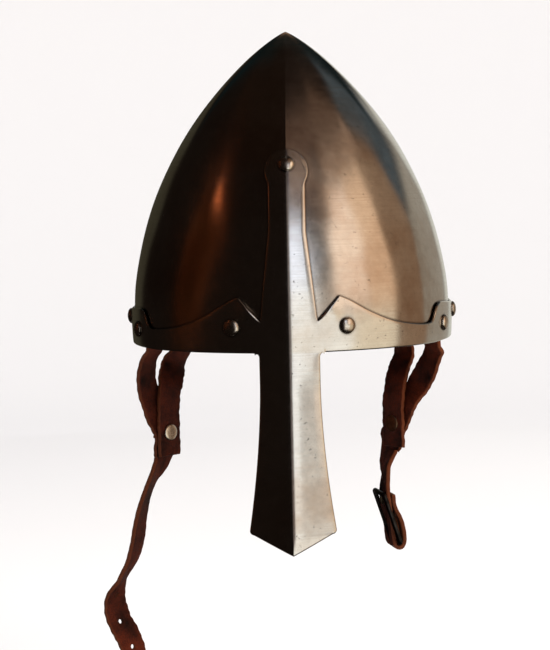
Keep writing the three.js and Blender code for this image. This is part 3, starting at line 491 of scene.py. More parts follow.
@dataclass(frozen=True)
class BrushedSteel:
    """Mild steel sheet, raised by hammer and brushed round the helmet with a fine abrasive.

    The brushing gives long level streaks, and handling leaves brown tarnish with darker freckles
    and short bright scratches. Streaks (0.9 mm) and scratches (0.7 mm) are coarser than an
    abrasive's real lines, so that they show from a metre away.
    """

    name: str
    bright: str
    tarnish: str
    freckle: str
    roughness: float
    tarnish_from: float = 0.45
    freckles: float = 0.5
    streak_mm: float = 0.9
    streak_length: float = 60.0
    cloud_mm: float = 55.0
    freckle_mm: float = 2.6
    bump_mm: float = 0.016
    streaking: float = 0.2
    blotch_mm: float = 6.0
    blotching: float = 0.06
    scratch_mm: float = 0.7
    scratch_length: float = 40.0
    scratch_turn: tuple[float, float, float] = (0.5, 0.6, 0.7)
    scratching: float = 0.7
    brushing: float = 0.6
    seam_shade_mm: float = 1.8

    def build(self) -> Material:
        """Makes the material.

        Returns:
            The material.
        """
        material, tree = fresh_material(self.name)
        place = node(tree, "ShaderNodeTexCoord").outputs["Object"]
        level = (1.0 / self.streak_length, 1.0 / self.streak_length, 1.0)
        drawn = node(tree, "ShaderNodeMapping", {"Scale": level}, {"Vector": place})
        fine = noise(self.streak_mm, 4.0, 0.6)
        streaks = node(tree, "ShaderNodeTexNoise", fine, {"Vector": drawn})
        wide = noise(self.cloud_mm, 4.0, 0.6)
        cloud = node(tree, "ShaderNodeTexNoise", wide, {"Vector": place})
        start = self.tarnish_from
        patches = node(tree, "ShaderNodeMapRange", between(start, start + 0.3), {"Value": cloud})
        pair = {"data_type": "RGBA", 6: linear(self.bright), 7: linear(self.tarnish)}
        base = node(tree, "ShaderNodeMix", pair, {0: patches})
        lined = between(0.3, 0.7, 0.0, self.streaking)
        share = node(tree, "ShaderNodeMapRange", lined, {"Value": streaks})
        brown = {"data_type": "RGBA", 7: linear(self.tarnish)}
        brushed = node(tree, "ShaderNodeMix", brown, {0: share, 6: base})
        blotch = noise(self.blotch_mm, 5.0, 0.7)
        blotches = node(tree, "ShaderNodeTexNoise", blotch, {"Vector": place})
        worn = between(0.35, 0.65, 1.0 - self.blotching, 1.0 + self.blotching)
        shade = node(tree, "ShaderNodeMapRange", worn, {"Value": blotches})
        mottled = node(tree, "ShaderNodeHueSaturation", links={"Color": brushed, "Value": shade})
        small = noise(self.freckle_mm, 3.0, 0.7)
        spots = node(tree, "ShaderNodeTexNoise", small, {"Vector": place})
        rare = between(0.64, 0.74, 0.0, self.freckles)
        spotted = node(tree, "ShaderNodeMapRange", rare, {"Value": spots})
        dark = {"data_type": "RGBA", 7: linear(self.freckle)}
        colour = node(tree, "ShaderNodeMix", dark, {0: spotted, 6: mottled})
        # Painted shade: where ambient occlusion finds plates and rivets close by, the colour is drawn
        # towards the freckle colour, darkening the seams between them.
        nook = node(tree, "ShaderNodeAmbientOcclusion", {"Distance": self.seam_shade_mm * MM, "samples": 6})
        nearness = between(0.62, 0.9, 0.85, 0.0)
        painted_seam_shade = node(tree, "ShaderNodeMapRange", nearness, {"Value": nook.outputs["AO"]})
        colour = node(tree, "ShaderNodeMix", dark, {0: painted_seam_shade, 6: colour})
        aslant = {"Rotation": self.scratch_turn, "Scale": (1.0, 1.0 / self.scratch_length, 1.0)}
        turned = node(tree, "ShaderNodeMapping", aslant, {"Vector": place})
        hair = noise(self.scratch_mm, 1.0, 0.5)
        hairs = node(tree, "ShaderNodeTexNoise", hair, {"Vector": turned})
        cut = between(0.755, 0.8, 0.0, self.scratching)
        scratches = node(tree, "ShaderNodeMapRange", cut, {"Value": hairs})
        clean = {"data_type": "RGBA", 7: linear(self.bright)}
        colour = node(tree, "ShaderNodeMix", clean, {0: scratches, 6: colour})
        span = between(0.25, 0.75, self.roughness - 0.03, self.roughness + 0.04)
        drawn_out = node(tree, "ShaderNodeMapRange", span, {"Value": streaks})
        duller = between(0.4, 0.7, 0.0, self.blotching * 0.4)
        dulled = node(tree, "ShaderNodeMapRange", duller, {"Value": blotches})
        uneven = node(tree, "ShaderNodeMath", {"operation": "ADD"}, {0: drawn_out, 1: dulled})
        relief = {"Strength": 0.35, "Distance": self.bump_mm * MM}
        brush = node(tree, "ShaderNodeBump", relief, {"Height": streaks})
        cuts = {"Strength": 0.2, "Distance": self.bump_mm * MM, "invert": True}
        bump = node(tree, "ShaderNodeBump", cuts, {"Height": scratches, "Normal": brush})
        level_way = node(tree, "ShaderNodeTangent", {"direction_type": "RADIAL", "axis": "Z"})
        # The brushing is level, so the gloss is drawn out a quarter turn from it, upright.
        brushing = {"Metallic": 1.0, "Anisotropic": self.brushing, "Anisotropic Rotation": 0.25}
        shader = node(tree, "ShaderNodeBsdfPrincipled", brushing,
                      {"Base Color": colour, "Roughness": uneven, "Normal": bump, "Tangent": level_way})
        node(tree, "ShaderNodeOutputMaterial", links={"Surface": shader})
        return material


@dataclass(frozen=True)
class FormedSteel:
    """Small hammered or turned steel parts, smoother than the sheet and duller in the hollows."""

    name: str
    bright: str
    dull: str
    roughness: float
    cloud_mm: float = 4.0
    dent_mm: float = 2.2
    dent_depth: float = 0.12

    def build(self) -> Material:
        """Makes the material.

        Returns:
            The material.
        """
        material, tree = fresh_material(self.name)
        place = node(tree, "ShaderNodeTexCoord").outputs["Object"]
        soft = noise(self.cloud_mm, 3.0, 0.6)
        cloud = node(tree, "ShaderNodeTexNoise", soft, {"Vector": place})
        share = node(tree, "ShaderNodeMapRange", between(0.35, 0.7), {"Value": cloud})
        pair = {"data_type": "RGBA", 6: linear(self.bright), 7: linear(self.dull)}
        colour = node(tree, "ShaderNodeMix", pair, {0: share})
        span = between(0.3, 0.7, self.roughness - 0.05, self.roughness + 0.1)
        uneven = node(tree, "ShaderNodeMapRange", span, {"Value": cloud})
        small = noise(self.dent_mm, 2.0, 0.5)
        dents = node(tree, "ShaderNodeTexNoise", small, {"Vector": place})
        relief = {"Strength": 0.4, "Distance": self.dent_depth * MM}
        bump = node(tree, "ShaderNodeBump", relief, {"Height": dents})
        shader = node(tree, "ShaderNodeBsdfPrincipled", {"Metallic": 1.0},
                      {"Base Color": colour, "Roughness": uneven, "Normal": bump})
        node(tree, "ShaderNodeOutputMaterial", links={"Surface": shader})
        return material


@dataclass(frozen=True)
class TannedLeather:
    """Vegetable-tanned cowhide: pores and fibre bundles, darker where handled, paler at cut edges.

    On a strap the pattern follows the strap's own length and width, so it doesn't slide when the
    strap bends. A piece that never bends takes it from where it is on the helmet. The grain, at
    1.1 mm, is coarser than the pores of real hide, so that it shows from a metre away.
    """

    name: str
    dark: str
    mid: str
    edge: str
    inside_dark: str
    inside: str
    roughness: float
    strap_width: float = 0.0
    edge_share: float = 0.7
    edge_reach: Pair = (0.7, 0.05)
    grain_mm: float = 1.1
    cloud_mm: float = 22.0
    relief_mm: float = 0.45

    def build(self) -> Material:
        """Makes the material.

        Returns:
            The material.
        """
        material, tree = fresh_material(self.name)
        if self.strap_width:
            place = node(tree, "ShaderNodeAttribute", {"attribute_name": PLACE}).outputs["Vector"]
        else:
            place = node(tree, "ShaderNodeTexCoord").outputs["Object"]
        wide = noise(self.cloud_mm, 4.0, 0.65)
        cloud = node(tree, "ShaderNodeTexNoise", wide, {"Vector": place})
        fine = noise(self.grain_mm, 5.0, 0.7)
        fibres = node(tree, "ShaderNodeTexNoise", fine, {"Vector": place})
        cells = {"Scale": per_mm(self.grain_mm * 1.6)}
        pores = node(tree, "ShaderNodeTexVoronoi", cells, {"Vector": place})
        share = node(tree, "ShaderNodeMapRange", between(0.32, 0.7), {"Value": cloud})
        pair = {"data_type": "RGBA", 6: linear(self.dark), 7: linear(self.mid)}
        colour = node(tree, "ShaderNodeMix", pair, {0: share})
        if self.strap_width:
            colour = self.with_inside(tree, place, colour, share)
        shade = node(tree, "ShaderNodeMapRange", between(0.3, 0.7, 0.45, 1.6), {"Value": fibres})
        colour = node(tree, "ShaderNodeHueSaturation", links={"Color": colour, "Value": shade})
        if self.strap_width:
            colour = self.with_edges(tree, place, colour)
        ridges = node(tree, "ShaderNodeMapRange", between(0.0, 0.5, 0.0, 0.6), {"Value": pores})
        both = node(tree, "ShaderNodeMath", {"operation": "ADD"}, {0: ridges, 1: fibres})
        relief = {"Strength": 0.5, "Distance": self.relief_mm * MM}
        bump = node(tree, "ShaderNodeBump", relief, {"Height": both})
        span = between(0.3, 0.7, self.roughness - 0.1, self.roughness + 0.1)
        uneven = node(tree, "ShaderNodeMapRange", span, {"Value": fibres})
        shader = node(tree, "ShaderNodeBsdfPrincipled", {"IOR": 1.48, "Specular IOR Level": 0.12},
                      {"Base Color": colour, "Roughness": uneven, "Normal": bump})
        node(tree, "ShaderNodeOutputMaterial", links={"Surface": shader})
        return material

    def with_inside(self, tree: NodeTree, place: NodeSocket, face: Node,
                    share: Node) -> Node:
        """Adds the colour of a strap's inner side.

        Args:
            tree: The material's nodes.
            place: Where a point is on the strap.
            face: The colour of the strap's outer side.
            share: How far a point is from dark to light.

        Returns:
            The node with the colour of both sides.
        """
        parts = node(tree, "ShaderNodeSeparateXYZ", links={"Vector": place})
        pair = {"data_type": "RGBA", 6: linear(self.inside_dark), 7: linear(self.inside)}
        inner = node(tree, "ShaderNodeMix", pair, {0: share})
        depth = between(0.0, FLESH_MARK * MM)
        side = node(tree, "ShaderNodeMapRange", depth, {"Value": parts.outputs["Z"]})
        return node(tree, "ShaderNodeMix", {"data_type": "RGBA"}, {0: side, 6: face, 7: inner})

    def with_edges(self, tree: NodeTree, place: NodeSocket,
                   face: Node) -> Node:
        """Adds the paler cut edges of a strap to its colour.

        Args:
            tree: The material's nodes.
            place: Where a point is on the strap.
            face: The colour of the strap's sides.

        Returns:
            The node with the whole strap's colour.
        """
        parts = node(tree, "ShaderNodeSeparateXYZ", links={"Vector": place})
        half = self.strap_width / 2.0
        reach = node(tree, "ShaderNodeMath", {"operation": "ABSOLUTE"}, {0: parts.outputs["Y"]})
        start, full = ((half - reach_in) * MM for reach_in in self.edge_reach)
        near = between(start, full, 0.0, self.edge_share)
        rim = node(tree, "ShaderNodeMapRange", near, {"Value": reach})
        tan = {"data_type": "RGBA", 7: linear(self.edge)}
        return node(tree, "ShaderNodeMix", tan, {0: rim, 6: face})


@dataclass(frozen=True)
class Finishes:
    """The materials of the helmet, made once."""

    skull: Material
    band: Material
    rivet: Material
    cap: Material
    dull_cap: Material
    iron: Material
    strap: Material
    liner: Material
    lace: Material

    @classmethod
    def make(cls) -> "Finishes":
        """Makes every material from what the real one is, and a darker copy of the nickel that paints
        shade on the right fork's rivet caps.

        Returns:
            The materials.
        """
        # The leathers' colours: dark, mid and cut edge outside, then dark and light inside.
        strap = ("2e160a", "5a3620", "4c2411", "140502", "481705")
        liner = ("3f2413", "6a3f20", "8a5a30", "3f2413", "6a3f20")
        lace = ("2a120a", "4a2412", "4a2412", "2a120a", "4a2412")
        return cls(
            # The skull mirrors the room softly. The band is a little duller, with more freckles.
            skull=BrushedSteel("brushed_steel_sheet", "c9c4bc", "a58f7c", "2e221a", 0.18).build(),
            band=BrushedSteel("brushed_steel_band", "cdc9c2", "b3a08e", "2e241c", 0.2, 0.5, 0.8).build(),
            # Rivets stand out by small sharp highlights, and the left caps are bright. The right caps are
            # a darker, browner, rougher copy of the same nickel: painted shade for caps that face away
            # from the key light. The buckle is near black with a dull shine along its edges.
            rivet=FormedSteel("hammered_steel", "cfc8bc", "9c8b7a", 0.22).build(),
            cap=FormedSteel("nickelled_steel", "e4dfd6", "c4bbae", 0.22).build(),
            dull_cap=FormedSteel("nickel_painted_shade", "c2a284", "94745a", 0.5).build(),
            iron=FormedSteel("blackened_iron", "3a3735", "1f1c1b", 0.42).build(),
            # Leather scatters light: dark and dry on the straps, lighter in the lining.
            strap=TannedLeather("vegetable_tanned_leather", *strap, 0.72, STRAP_WIDTH).build(),
            liner=TannedLeather("liner_leather", *liner, 0.72).build(),
            lace=TannedLeather("leather_lace", *lace, 0.6).build(),
        )


def dress(piece: Object, material: Material, slot: str,
          *nodes: str) -> Object:
    """Gives a piece its material and hides the imported solids that it stands for.

    Args:
        piece: The piece.
        material: Its material.
        slot: Not used.
        *nodes: The solids that it stands for.

    Returns:
        The piece.
    """
    piece.data.materials.clear()
    piece.data.materials.append(material)
    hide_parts(*nodes)
    LOG.info("%s: %d faces", piece.name, len(piece.data.polygons))
    return piece


# Skull, band and rivets


@dataclass(frozen=True)
class SkullShape:
    """The skull's outer face as a function of azimuth, height and an offset outwards."""

    half_width: float = 101.0
    half_depth: float = 118.0
    height: float = 194.0
    wall: float = 1.6
    tuck: float = 1.8
    tuck_height: float = 36.0
    tuck_power: float = 1.3
    profile_power: float = 2.2
    roundness: float = 0.84
    apex_share: float = 1.2
    ridge_share: float = 0.189
    ridge_span: float = 55.0
    crease_share: float = 0.006
    crease_spread: float = 9.0

    def shell(self, azimuth: Array, height: Array, offset: Array = 0.0, ridge_round: float = 0.0) -> Array:
        """Points of the shell.

        The section is an ellipse, drawn in by (1 - (z / H)^p)^q with height, flattened beside the
        medial ridge by r s (1 - s)^2 for s from the ridge to the side crease, with a soft swell
        at the crease, and tucked in near the rim.

        Args:
            azimuth: Degrees from the nasal.
            height: Millimetres above the rim.
            offset: Millimetres outwards from the skull's outer face.
            ridge_round: Degrees over which the ridge is rounded.

        Returns:
            The points.
        """
        azimuth, height, offset = np.broadcast_arrays(azimuth, height, offset)
        raised = np.maximum(height, 0.0)
        share = np.clip(raised / (self.height + self.apex_share * offset), 0.0, 1.0)
        width = (1.0 - share ** self.profile_power) ** self.roundness
        turn = np.abs((azimuth + 540.0) % 360.0 - 180.0)
        from_ridge = np.hypot(np.minimum(turn, 180.0 - turn), ridge_round)
        s = np.clip(from_ridge / self.ridge_span, 0.0, 1.0)
        crease = self.crease_share * np.exp(-((from_ridge - self.ridge_span) / self.crease_spread) ** 2)
        width = width * (1.0 - self.ridge_share * s * (1.0 - s) ** 2 + crease)
        reach = offset - self.tuck * np.clip(1.0 - raised / self.tuck_height, 0.0, 1.0) ** self.tuck_power
        angle = np.radians(azimuth)
        x = (self.half_width + reach) * width * np.sin(angle)
        y = -(self.half_depth + reach) * width * np.cos(angle)
        return np.stack([x, y, height.astype(float)], axis=-1)

    def normal(self, azimuth: float, height: float) -> Array:
        """The outward direction of the outer face.

        Args:
            azimuth: Degrees from the nasal.
            height: Millimetres above the rim.

        Returns:
            A vector of length one.
        """
        across = self.shell(azimuth + 0.5, height) - self.shell(azimuth - 0.5, height)
        up = self.shell(azimuth, height + 0.5) - self.shell(azimuth, height - 0.5)
        return unit(np.cross(across, up))

    def azimuth_of(self, half_width: Array, height: Array) -> Array:
        """The azimuth at which the shell is a given distance to one side.

        Args:
            half_width: Millimetres from the medial plane.
            height: Millimetres above the rim.

        Returns:
            Degrees from the nasal.
        """
        share = np.clip(np.maximum(height, 0.0) / self.height, 0.0, 1.0)
        width = (1.0 - share ** self.profile_power) ** self.roundness
        return np.degrees(np.arcsin(np.clip(half_width / (self.half_width * width), -1.0, 1.0)))


@dataclass
class Skull:
    """The raised shell with its medial ridge, rounded at the rim."""

    shape: SkullShape
    columns: int = 288
    rows: int = 88
    rim_rows: int = 8
    apex_crowding: float = 1.5
    waves_mm: float = 0.16
    rim_calm: Pair = (30.0, 60.0)
    apex_calm: Pair = (0.85, 0.98)

    def hammered(self, azimuth: Array, height: Array) -> Array:
        """Slow waves left by the hammer: a sum of sines round and up the shell, gone at the ridge and rim.

        Args:
            azimuth: Degrees from the nasal.
            height: Millimetres above the rim.

        Returns:
            Millimetres outwards.
        """
        round_way, up_way = np.radians(azimuth), height / self.shape.height
        waves = np.sin(11 * round_way + 5.0 * up_way) * np.sin(17 * up_way + 2.0 * round_way)
        waves = waves + 0.6 * np.sin(19 * round_way - 7.0 * up_way + 1.3) * np.cos(9 * up_way)
        calm = np.abs(np.sin(round_way)) ** 0.5 * smoothstep(height, *self.rim_calm)
        return self.waves_mm * waves * calm * (1.0 - smoothstep(up_way, *self.apex_calm))

    def build(self, finishes: Finishes) -> None:
        """Makes the skull: one profile from the outer apex round the rim to the inner apex.

        Args:
            finishes: The materials.
        """
        shape = self.shape
        half = shape.wall / 2.0
        climb = 1.0 - (1.0 - np.linspace(0.0, 1.0, self.rows)) ** self.apex_crowding
        outer = lerp(half, shape.height, climb)[::-1]
        turn = np.linspace(0.0, np.pi, self.rim_rows)[1:-1]
        inner = lerp(half, shape.height - shape.apex_share * shape.wall, climb)
        heights = np.concatenate([outer, half - half * np.sin(turn), inner])
        rounded = half * np.cos(turn) - half
        offsets = np.concatenate([np.zeros(self.rows), rounded, np.full(self.rows, -shape.wall)])
        azimuths = np.linspace(-180.0, 180.0, self.columns, endpoint=False)
        azimuth, height = np.meshgrid(azimuths, heights)
        outside = smoothstep(offsets, -half, 0.0)[:, None]
        rings = shape.shell(azimuth, height, offsets[:, None] + self.hammered(azimuth, height) * outside)
        piece = swept("skull_shell", rings, False, sharp=14.0)
        dress(piece, finishes.skull, "skull_steel", "skull")
        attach(piece, "helmet")


@dataclass
class BrowBand:
    """The brow band: nasal, finial over the ridge, two peaked wings and a lobe at each side."""

    shape: SkullShape
    thickness: float = 1.8
    notch_half_width: float = 16.9
    notch_height: float = 18.5
    peak: Pair = (17.4, 32.6)
    height: float = 12.4
    waist: float = 53.5
    end_height: float = 7.44
    lobe_height: float = 24.0
    lobe_dip: float = 2.0
    shoulder: Pair = (0.35, 0.6)
    lobe_start: float = 56.6
    lobe_centre: float = 87.0
    neck_half_width: float = 11.0
    neck_bottom: float = 70.0
    finial_height: float = 118.0
    finial_radius: float = 13.0
    nasal_length: float = 115.7
    point_drop: float = 11.0
    top_half_width: float = 18.1
    widest_half_width: float = 26.0
    waist_drop: float = 17.0
    flare_power: float = 1.8
    corner_radius: float = 2.6
    facet: float = 20.0
    lean: float = 6.0
    blend: float = 25.0
    ridge_round: float = 1.1
    nasal_softness: float = 2.8
    edge_round: float = 0.95
    lift: float = 1.3
    lift_reach: float = 8.0
    lift_from: Pair = (-1.5, -0.5)
    hollow_shares: tuple = ((0.0, 1.0), (0.1, 0.87), (0.2, 0.7), (0.3, 0.53), (0.4, 0.39),
                            (0.5, 0.27), (0.64, 0.14), (0.8, 0.05), (1.0, 0.0))
    step_shares: tuple = ((1.0, 0.06), (0.95, 0.24), (0.9, 0.58), (0.84, 0.84), (0.77, 0.98), (0.7, 1.0))

    @property
    def face(self) -> float:
        """The offset of the band's outer face."""
        return GAP + self.thickness

    @property
    def widest_drop(self) -> float:
        """How far below the rim the nasal is widest."""
        return self.nasal_length - self.point_drop - self.corner_radius

    def finial_half_width(self, height: Array) -> Array:
        """Half the finial's width: a taper to the neck, then a round head.

        Args:
            height: Millimetres above the rim.

        Returns:
            Millimetres.
        """
        climb = np.clip((height - self.notch_height) / (self.neck_bottom - self.notch_height), 0.0, 1.0)
        rise = height - (self.finial_height - self.finial_radius)
        head = np.sqrt(np.maximum(self.finial_radius ** 2 - rise ** 2, 0.0))
        taper = lerp(self.notch_half_width, self.neck_half_width, climb)
        return np.where(rise > 0, head, np.maximum(taper, head))

    def nasal_half_width(self, drop: Array) -> Array:
        """Half the nasal's width: a power law from waist to flare, rounded at root and corners.

        Args:
            drop: Millimetres below the rim.

        Returns:
            Millimetres.
        """
        fall = np.clip((drop - self.waist_drop) / (self.widest_drop - self.waist_drop), 0.0, 1.0)
        side = lerp(self.top_half_width, self.widest_half_width, fall ** self.flare_power)
        root = np.maximum(self.corner_radius - drop, 0.0)
        fillet = self.corner_radius - np.sqrt(self.corner_radius ** 2 - root ** 2)
        past = np.clip((drop - self.widest_drop) / self.corner_radius, 0.0, 1.0)
        return side + fillet - self.corner_radius * (1.0 - np.sqrt(1.0 - past ** 2))

    def skin(self, offset: float, ridge_round: float) -> Shape:
        """The band's face at an offset: the shell above the rim, two flat leaning facets below it.

        Args:
            offset: Millimetres outwards from the skull.
            ridge_round: Degrees over which the medial ridge is rounded.

        Returns:
            A function from azimuth and height to points.
        """
        shape = self.shape

        def point(azimuth: Array, height: Array) -> Array:
            """The place of an azimuth and height.

            Args:
                azimuth: Degrees from the nasal.
                height: Millimetres above the rim.

            Returns:
                The points.
            """
            above = shape.shell(azimuth, height, offset + self.raised(azimuth, height), ridge_round)
            root = shape.shell(azimuth, 0.0 * height, offset, ridge_round)
            ridge = shape.shell(0.0, 0.0, offset, ridge_round)[1]
            softened = ridge_round * self.nasal_softness
            out = np.hypot(root[:, 0], softened) - softened
            facet = ridge + out * math.tan(math.radians(self.facet))
            flat = lerp(root[:, 1], facet, smoothstep(-height, 0.0, self.blend))
            leaning = flat + height * math.tan(math.radians(self.lean))
            below = np.stack([root[:, 0], leaning, height], axis=-1)
            return np.where(height[:, None] >= 0, above, below)

        return point

    def raised(self, azimuth: Array, height: Array) -> Array:
        """How far the slope from notch to peak has sprung off the skull.

        It is a sine along the slope, squared, that dies away over the wing as a bell curve does.

        Args:
            azimuth: Degrees from the nasal.
            height: Millimetres above the rim.

        Returns:
            Millimetres outwards.
        """
        scale = math.radians(self.shape.half_width)
        notch = np.array([self.notch_half_width, self.notch_height])
        peak = np.array([self.peak[0] * scale, self.peak[1]])
        along = (peak - notch) / np.linalg.norm(peak - notch)
        away = np.stack([np.abs(azimuth) * scale, height], axis=-1) - notch
        share = np.clip(away @ along / np.linalg.norm(peak - notch), 0.0, 1.0)
        beside = away @ [along[1], -along[0]]
        fade = np.exp(-(beside / self.lift_reach) ** 2) * smoothstep(beside, *self.lift_from)
        return self.lift * np.sin(np.pi * share) ** 2 * fade

    def wing_edge(self) -> Array:
        """The upper edge of a wing from notch to end, as azimuth and height.

        A straight rise to the peak, then one smooth curve through the hollow, the step, the lobe
        and the lobe's mirror image.

        Returns:
            Rows of azimuth and height.
        """
        half = self.lobe_centre - self.lobe_start
        hollow = np.array([[lerp(self.peak[0], self.waist, a), lerp(self.height, self.peak[1], b)]
                           for a, b in self.hollow_shares])
        step = np.array([[self.lobe_centre - half * a, lerp(self.height, self.lobe_height, b)]
                         for a, b in self.step_shares])
        top = self.lobe_height - self.lobe_dip
        aside, down = self.shoulder
        dip = np.array([[self.lobe_centre - half * aside, self.lobe_height - down * self.lobe_dip]])
        rise = np.vstack([step, dip])
        mirrored = rise[::-1] * [-1.0, 1.0] + [2.0 * self.lobe_centre, 0.0]
        end = [[2.0 * self.lobe_centre - self.waist, self.end_height]]
        knots = np.vstack([hollow, rise, [[self.lobe_centre, top]], mirrored, end])
        curve, _ = spline(knots, 6)
        notch = self.shape.azimuth_of(self.notch_half_width, self.notch_height)
        rising = lerp(np.array([notch, self.notch_height]), np.array(self.peak),
                      np.linspace(0.0, 1.0, 12)[:-1, None])
        return np.vstack([rising, curve])

    def grids(self) -> list[Array]:
        """The parameter grids of nasal, middle, finial and both wings.

        Returns:
            The grids, which share their pairs where they meet.
        """
        shape = self.shape
        half = np.array([0.02, 0.05, 0.09, 0.16, 0.28, 0.42, 0.57, 0.72, 0.87, 1.0])
        across = np.concatenate([-half[::-1], [0.0], half])
        up = np.array([0.0, 0.13, 0.3, 0.5, 0.7, 0.86, 1.0])
        notch = shape.azimuth_of(self.notch_half_width, self.notch_height)
        root = shape.azimuth_of(self.top_half_width + self.corner_radius, 0.0)
        starts = lerp(root, notch, up)
        levels = np.repeat(up[:, None] * self.notch_height, len(across), 1)
        middle = np.stack([starts[:, None] * across, levels], axis=-1)

        low = self.widest_drop + self.corner_radius
        corner = self.widest_drop + self.corner_radius * np.sin(np.radians([90, 72, 54, 36, 18]))
        root_rows = self.corner_radius * np.array([0.75, 0.5, 0.3, 0.15, 0.05])
        drops = np.concatenate([[self.nasal_length], corner,
                                np.linspace(self.widest_drop, self.corner_radius, 44), root_rows])
        widths = shape.azimuth_of(self.nasal_half_width(np.minimum(drops, low)), 0.0)
        past = np.clip(drops - low, 0.0, None)[:, None]
        slope = 1.0 - np.abs(across)
        level = np.minimum(drops, low)[:, None] + past * slope
        nasal = np.stack([widths[:, None] * across, -level], axis=-1)
        nasal = np.concatenate([nasal, middle[:1]])

        centre = self.finial_height - self.finial_radius
        head = centre + self.finial_radius * np.sin(np.radians(np.linspace(-50.0, 90.0, 22)))
        heights = np.concatenate([np.linspace(self.notch_height, self.neck_bottom, 22)[1:],
                                  np.linspace(self.neck_bottom, head[0], 10)[1:-1], head])
        widths = shape.azimuth_of(self.finial_half_width(heights), heights)
        levels = np.repeat(heights[:, None], len(across), 1)
        finial = np.stack([widths[:, None] * across, levels], axis=-1)
        finial = np.concatenate([middle[-1:], finial])

        edge = self.wing_edge()
        azimuths = np.broadcast_to(edge[:, 0], (len(up), len(edge)))
        right = np.stack([azimuths, up[:, None] * edge[:, 1]], axis=-1)
        right[:, 0, 0] = starts
        near = 3
        right[:, 1:near, 0] = lerp(starts[:, None], edge[near, 0], np.arange(1, near) / near)
        left = (right * [-1.0, 1.0])[:, ::-1]
        return [nasal, middle, finial, left, right]

    def build(self, finishes: Finishes) -> None:
        """Makes the band and nasal as one plate with softly rounded edges.

        Args:
            finishes: The materials.
        """
        outer, inner = self.skin(self.face, self.ridge_round), self.skin(GAP, 0.0)
        piece = plate("brow_band_with_nasal", self.grids(), outer, inner, self.edge_round)
        dress(piece, finishes.band, "band_steel", "brow_band_nasal")
        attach(piece, "helmet")


@dataclass
class Rivets:
    """The domed rivets of the rim and finial, each peened over inside."""

    shape: SkullShape
    band_face: float
    liner_inside: float
    dome_radius: float = 4.9
    dome_height: float = 2.7
    foot_radius: float = 4.0
    foot_height: float = 1.4
    foot_clearance: float = 0.3
    shank: float = 2.2
    head_clearance: float = 0.05
    brim: float = 0.25
    brim_width: float = 0.1
    brim_edge: float = 0.12
    three_sided: float = 0.012
    five_sided: float = 0.01
    segments: int = 40
    finial: tuple = ("finial_rivet", 0.0, 108.2)
    pairs: tuple = (("front_rivet", 19.8, 15.0), ("lobe_rivet_lower_front", 67.0, 11.0),
                    ("lobe_rivet_upper", 87.0, 16.6), ("lobe_rivet_lower_rear", 107.0, 11.0),
                    ("rear_rivet", 130.0, 11.0))
    back: tuple = ("rear_rivet_middle", 180.0, 11.0)

    def profile(self, outer: float, inner: float) -> Array:
        """Radius and height from the foot's middle to the dome's: an arc with a small flat brim.

        Args:
            outer: The offset of the face under the dome.
            inner: The offset of the face on the foot.

        Returns:
            Rows of radius and height.
        """
        turn = np.radians(np.linspace(4.0, 90.0, 14))
        rise = outer + self.brim + (self.dome_height - self.brim) * np.sin(turn)
        dome = np.column_stack([self.dome_radius * np.cos(turn), rise])
        turn = np.radians(np.linspace(90.0, 10.0, 8))
        foot = np.column_stack([self.foot_radius * np.cos(turn), inner - self.foot_height * np.sin(turn)])
        foot = np.vstack([foot, [[self.foot_radius, inner]]])
        neck = [[self.shank, inner], [self.shank, outer], [self.dome_radius - self.brim_width, outer],
                [self.dome_radius, outer + self.brim_edge]]
        profile = np.vstack([foot, neck, dome])
        profile[[0, -1], 0] = 0.0
        return profile

    def build(self, finishes: Finishes) -> None:
        """Makes each rivet, its dome a little out of round as a hammered one is.

        Args:
            finishes: The materials.
        """
        paired = [(f"{name}_{side.word}", side.value * azimuth, height)
                  for name, azimuth, height in self.pairs for side in (Side.RIGHT, Side.LEFT)]
        for name, azimuth, height in (self.finial, *paired, self.back):
            outer = self.head_clearance + (0.0 if name.startswith("rear") else self.band_face)
            inside = -self.shape.wall if name.startswith("finial") else self.liner_inside
            inner = inside - self.foot_clearance
            rings = spun(self.profile(outer, inner), self.segments)
            turn = np.arctan2(rings[..., 1], rings[..., 0])
            uneven = 1.0 + self.three_sided * np.sin(3.0 * turn + azimuth)
            uneven = uneven + self.five_sided * np.sin(5.0 * turn + height)
            rings[..., :2] *= uneven[..., None]
            way = self.shape.normal(azimuth, height)
            rings = stood_on(rings, self.shape.shell(azimuth, height), way)
            piece = swept(f"{name}_head", rings, False)
            dress(piece, finishes.rivet, "rivet_steel", name)
            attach(piece, "helmet")


# Liner


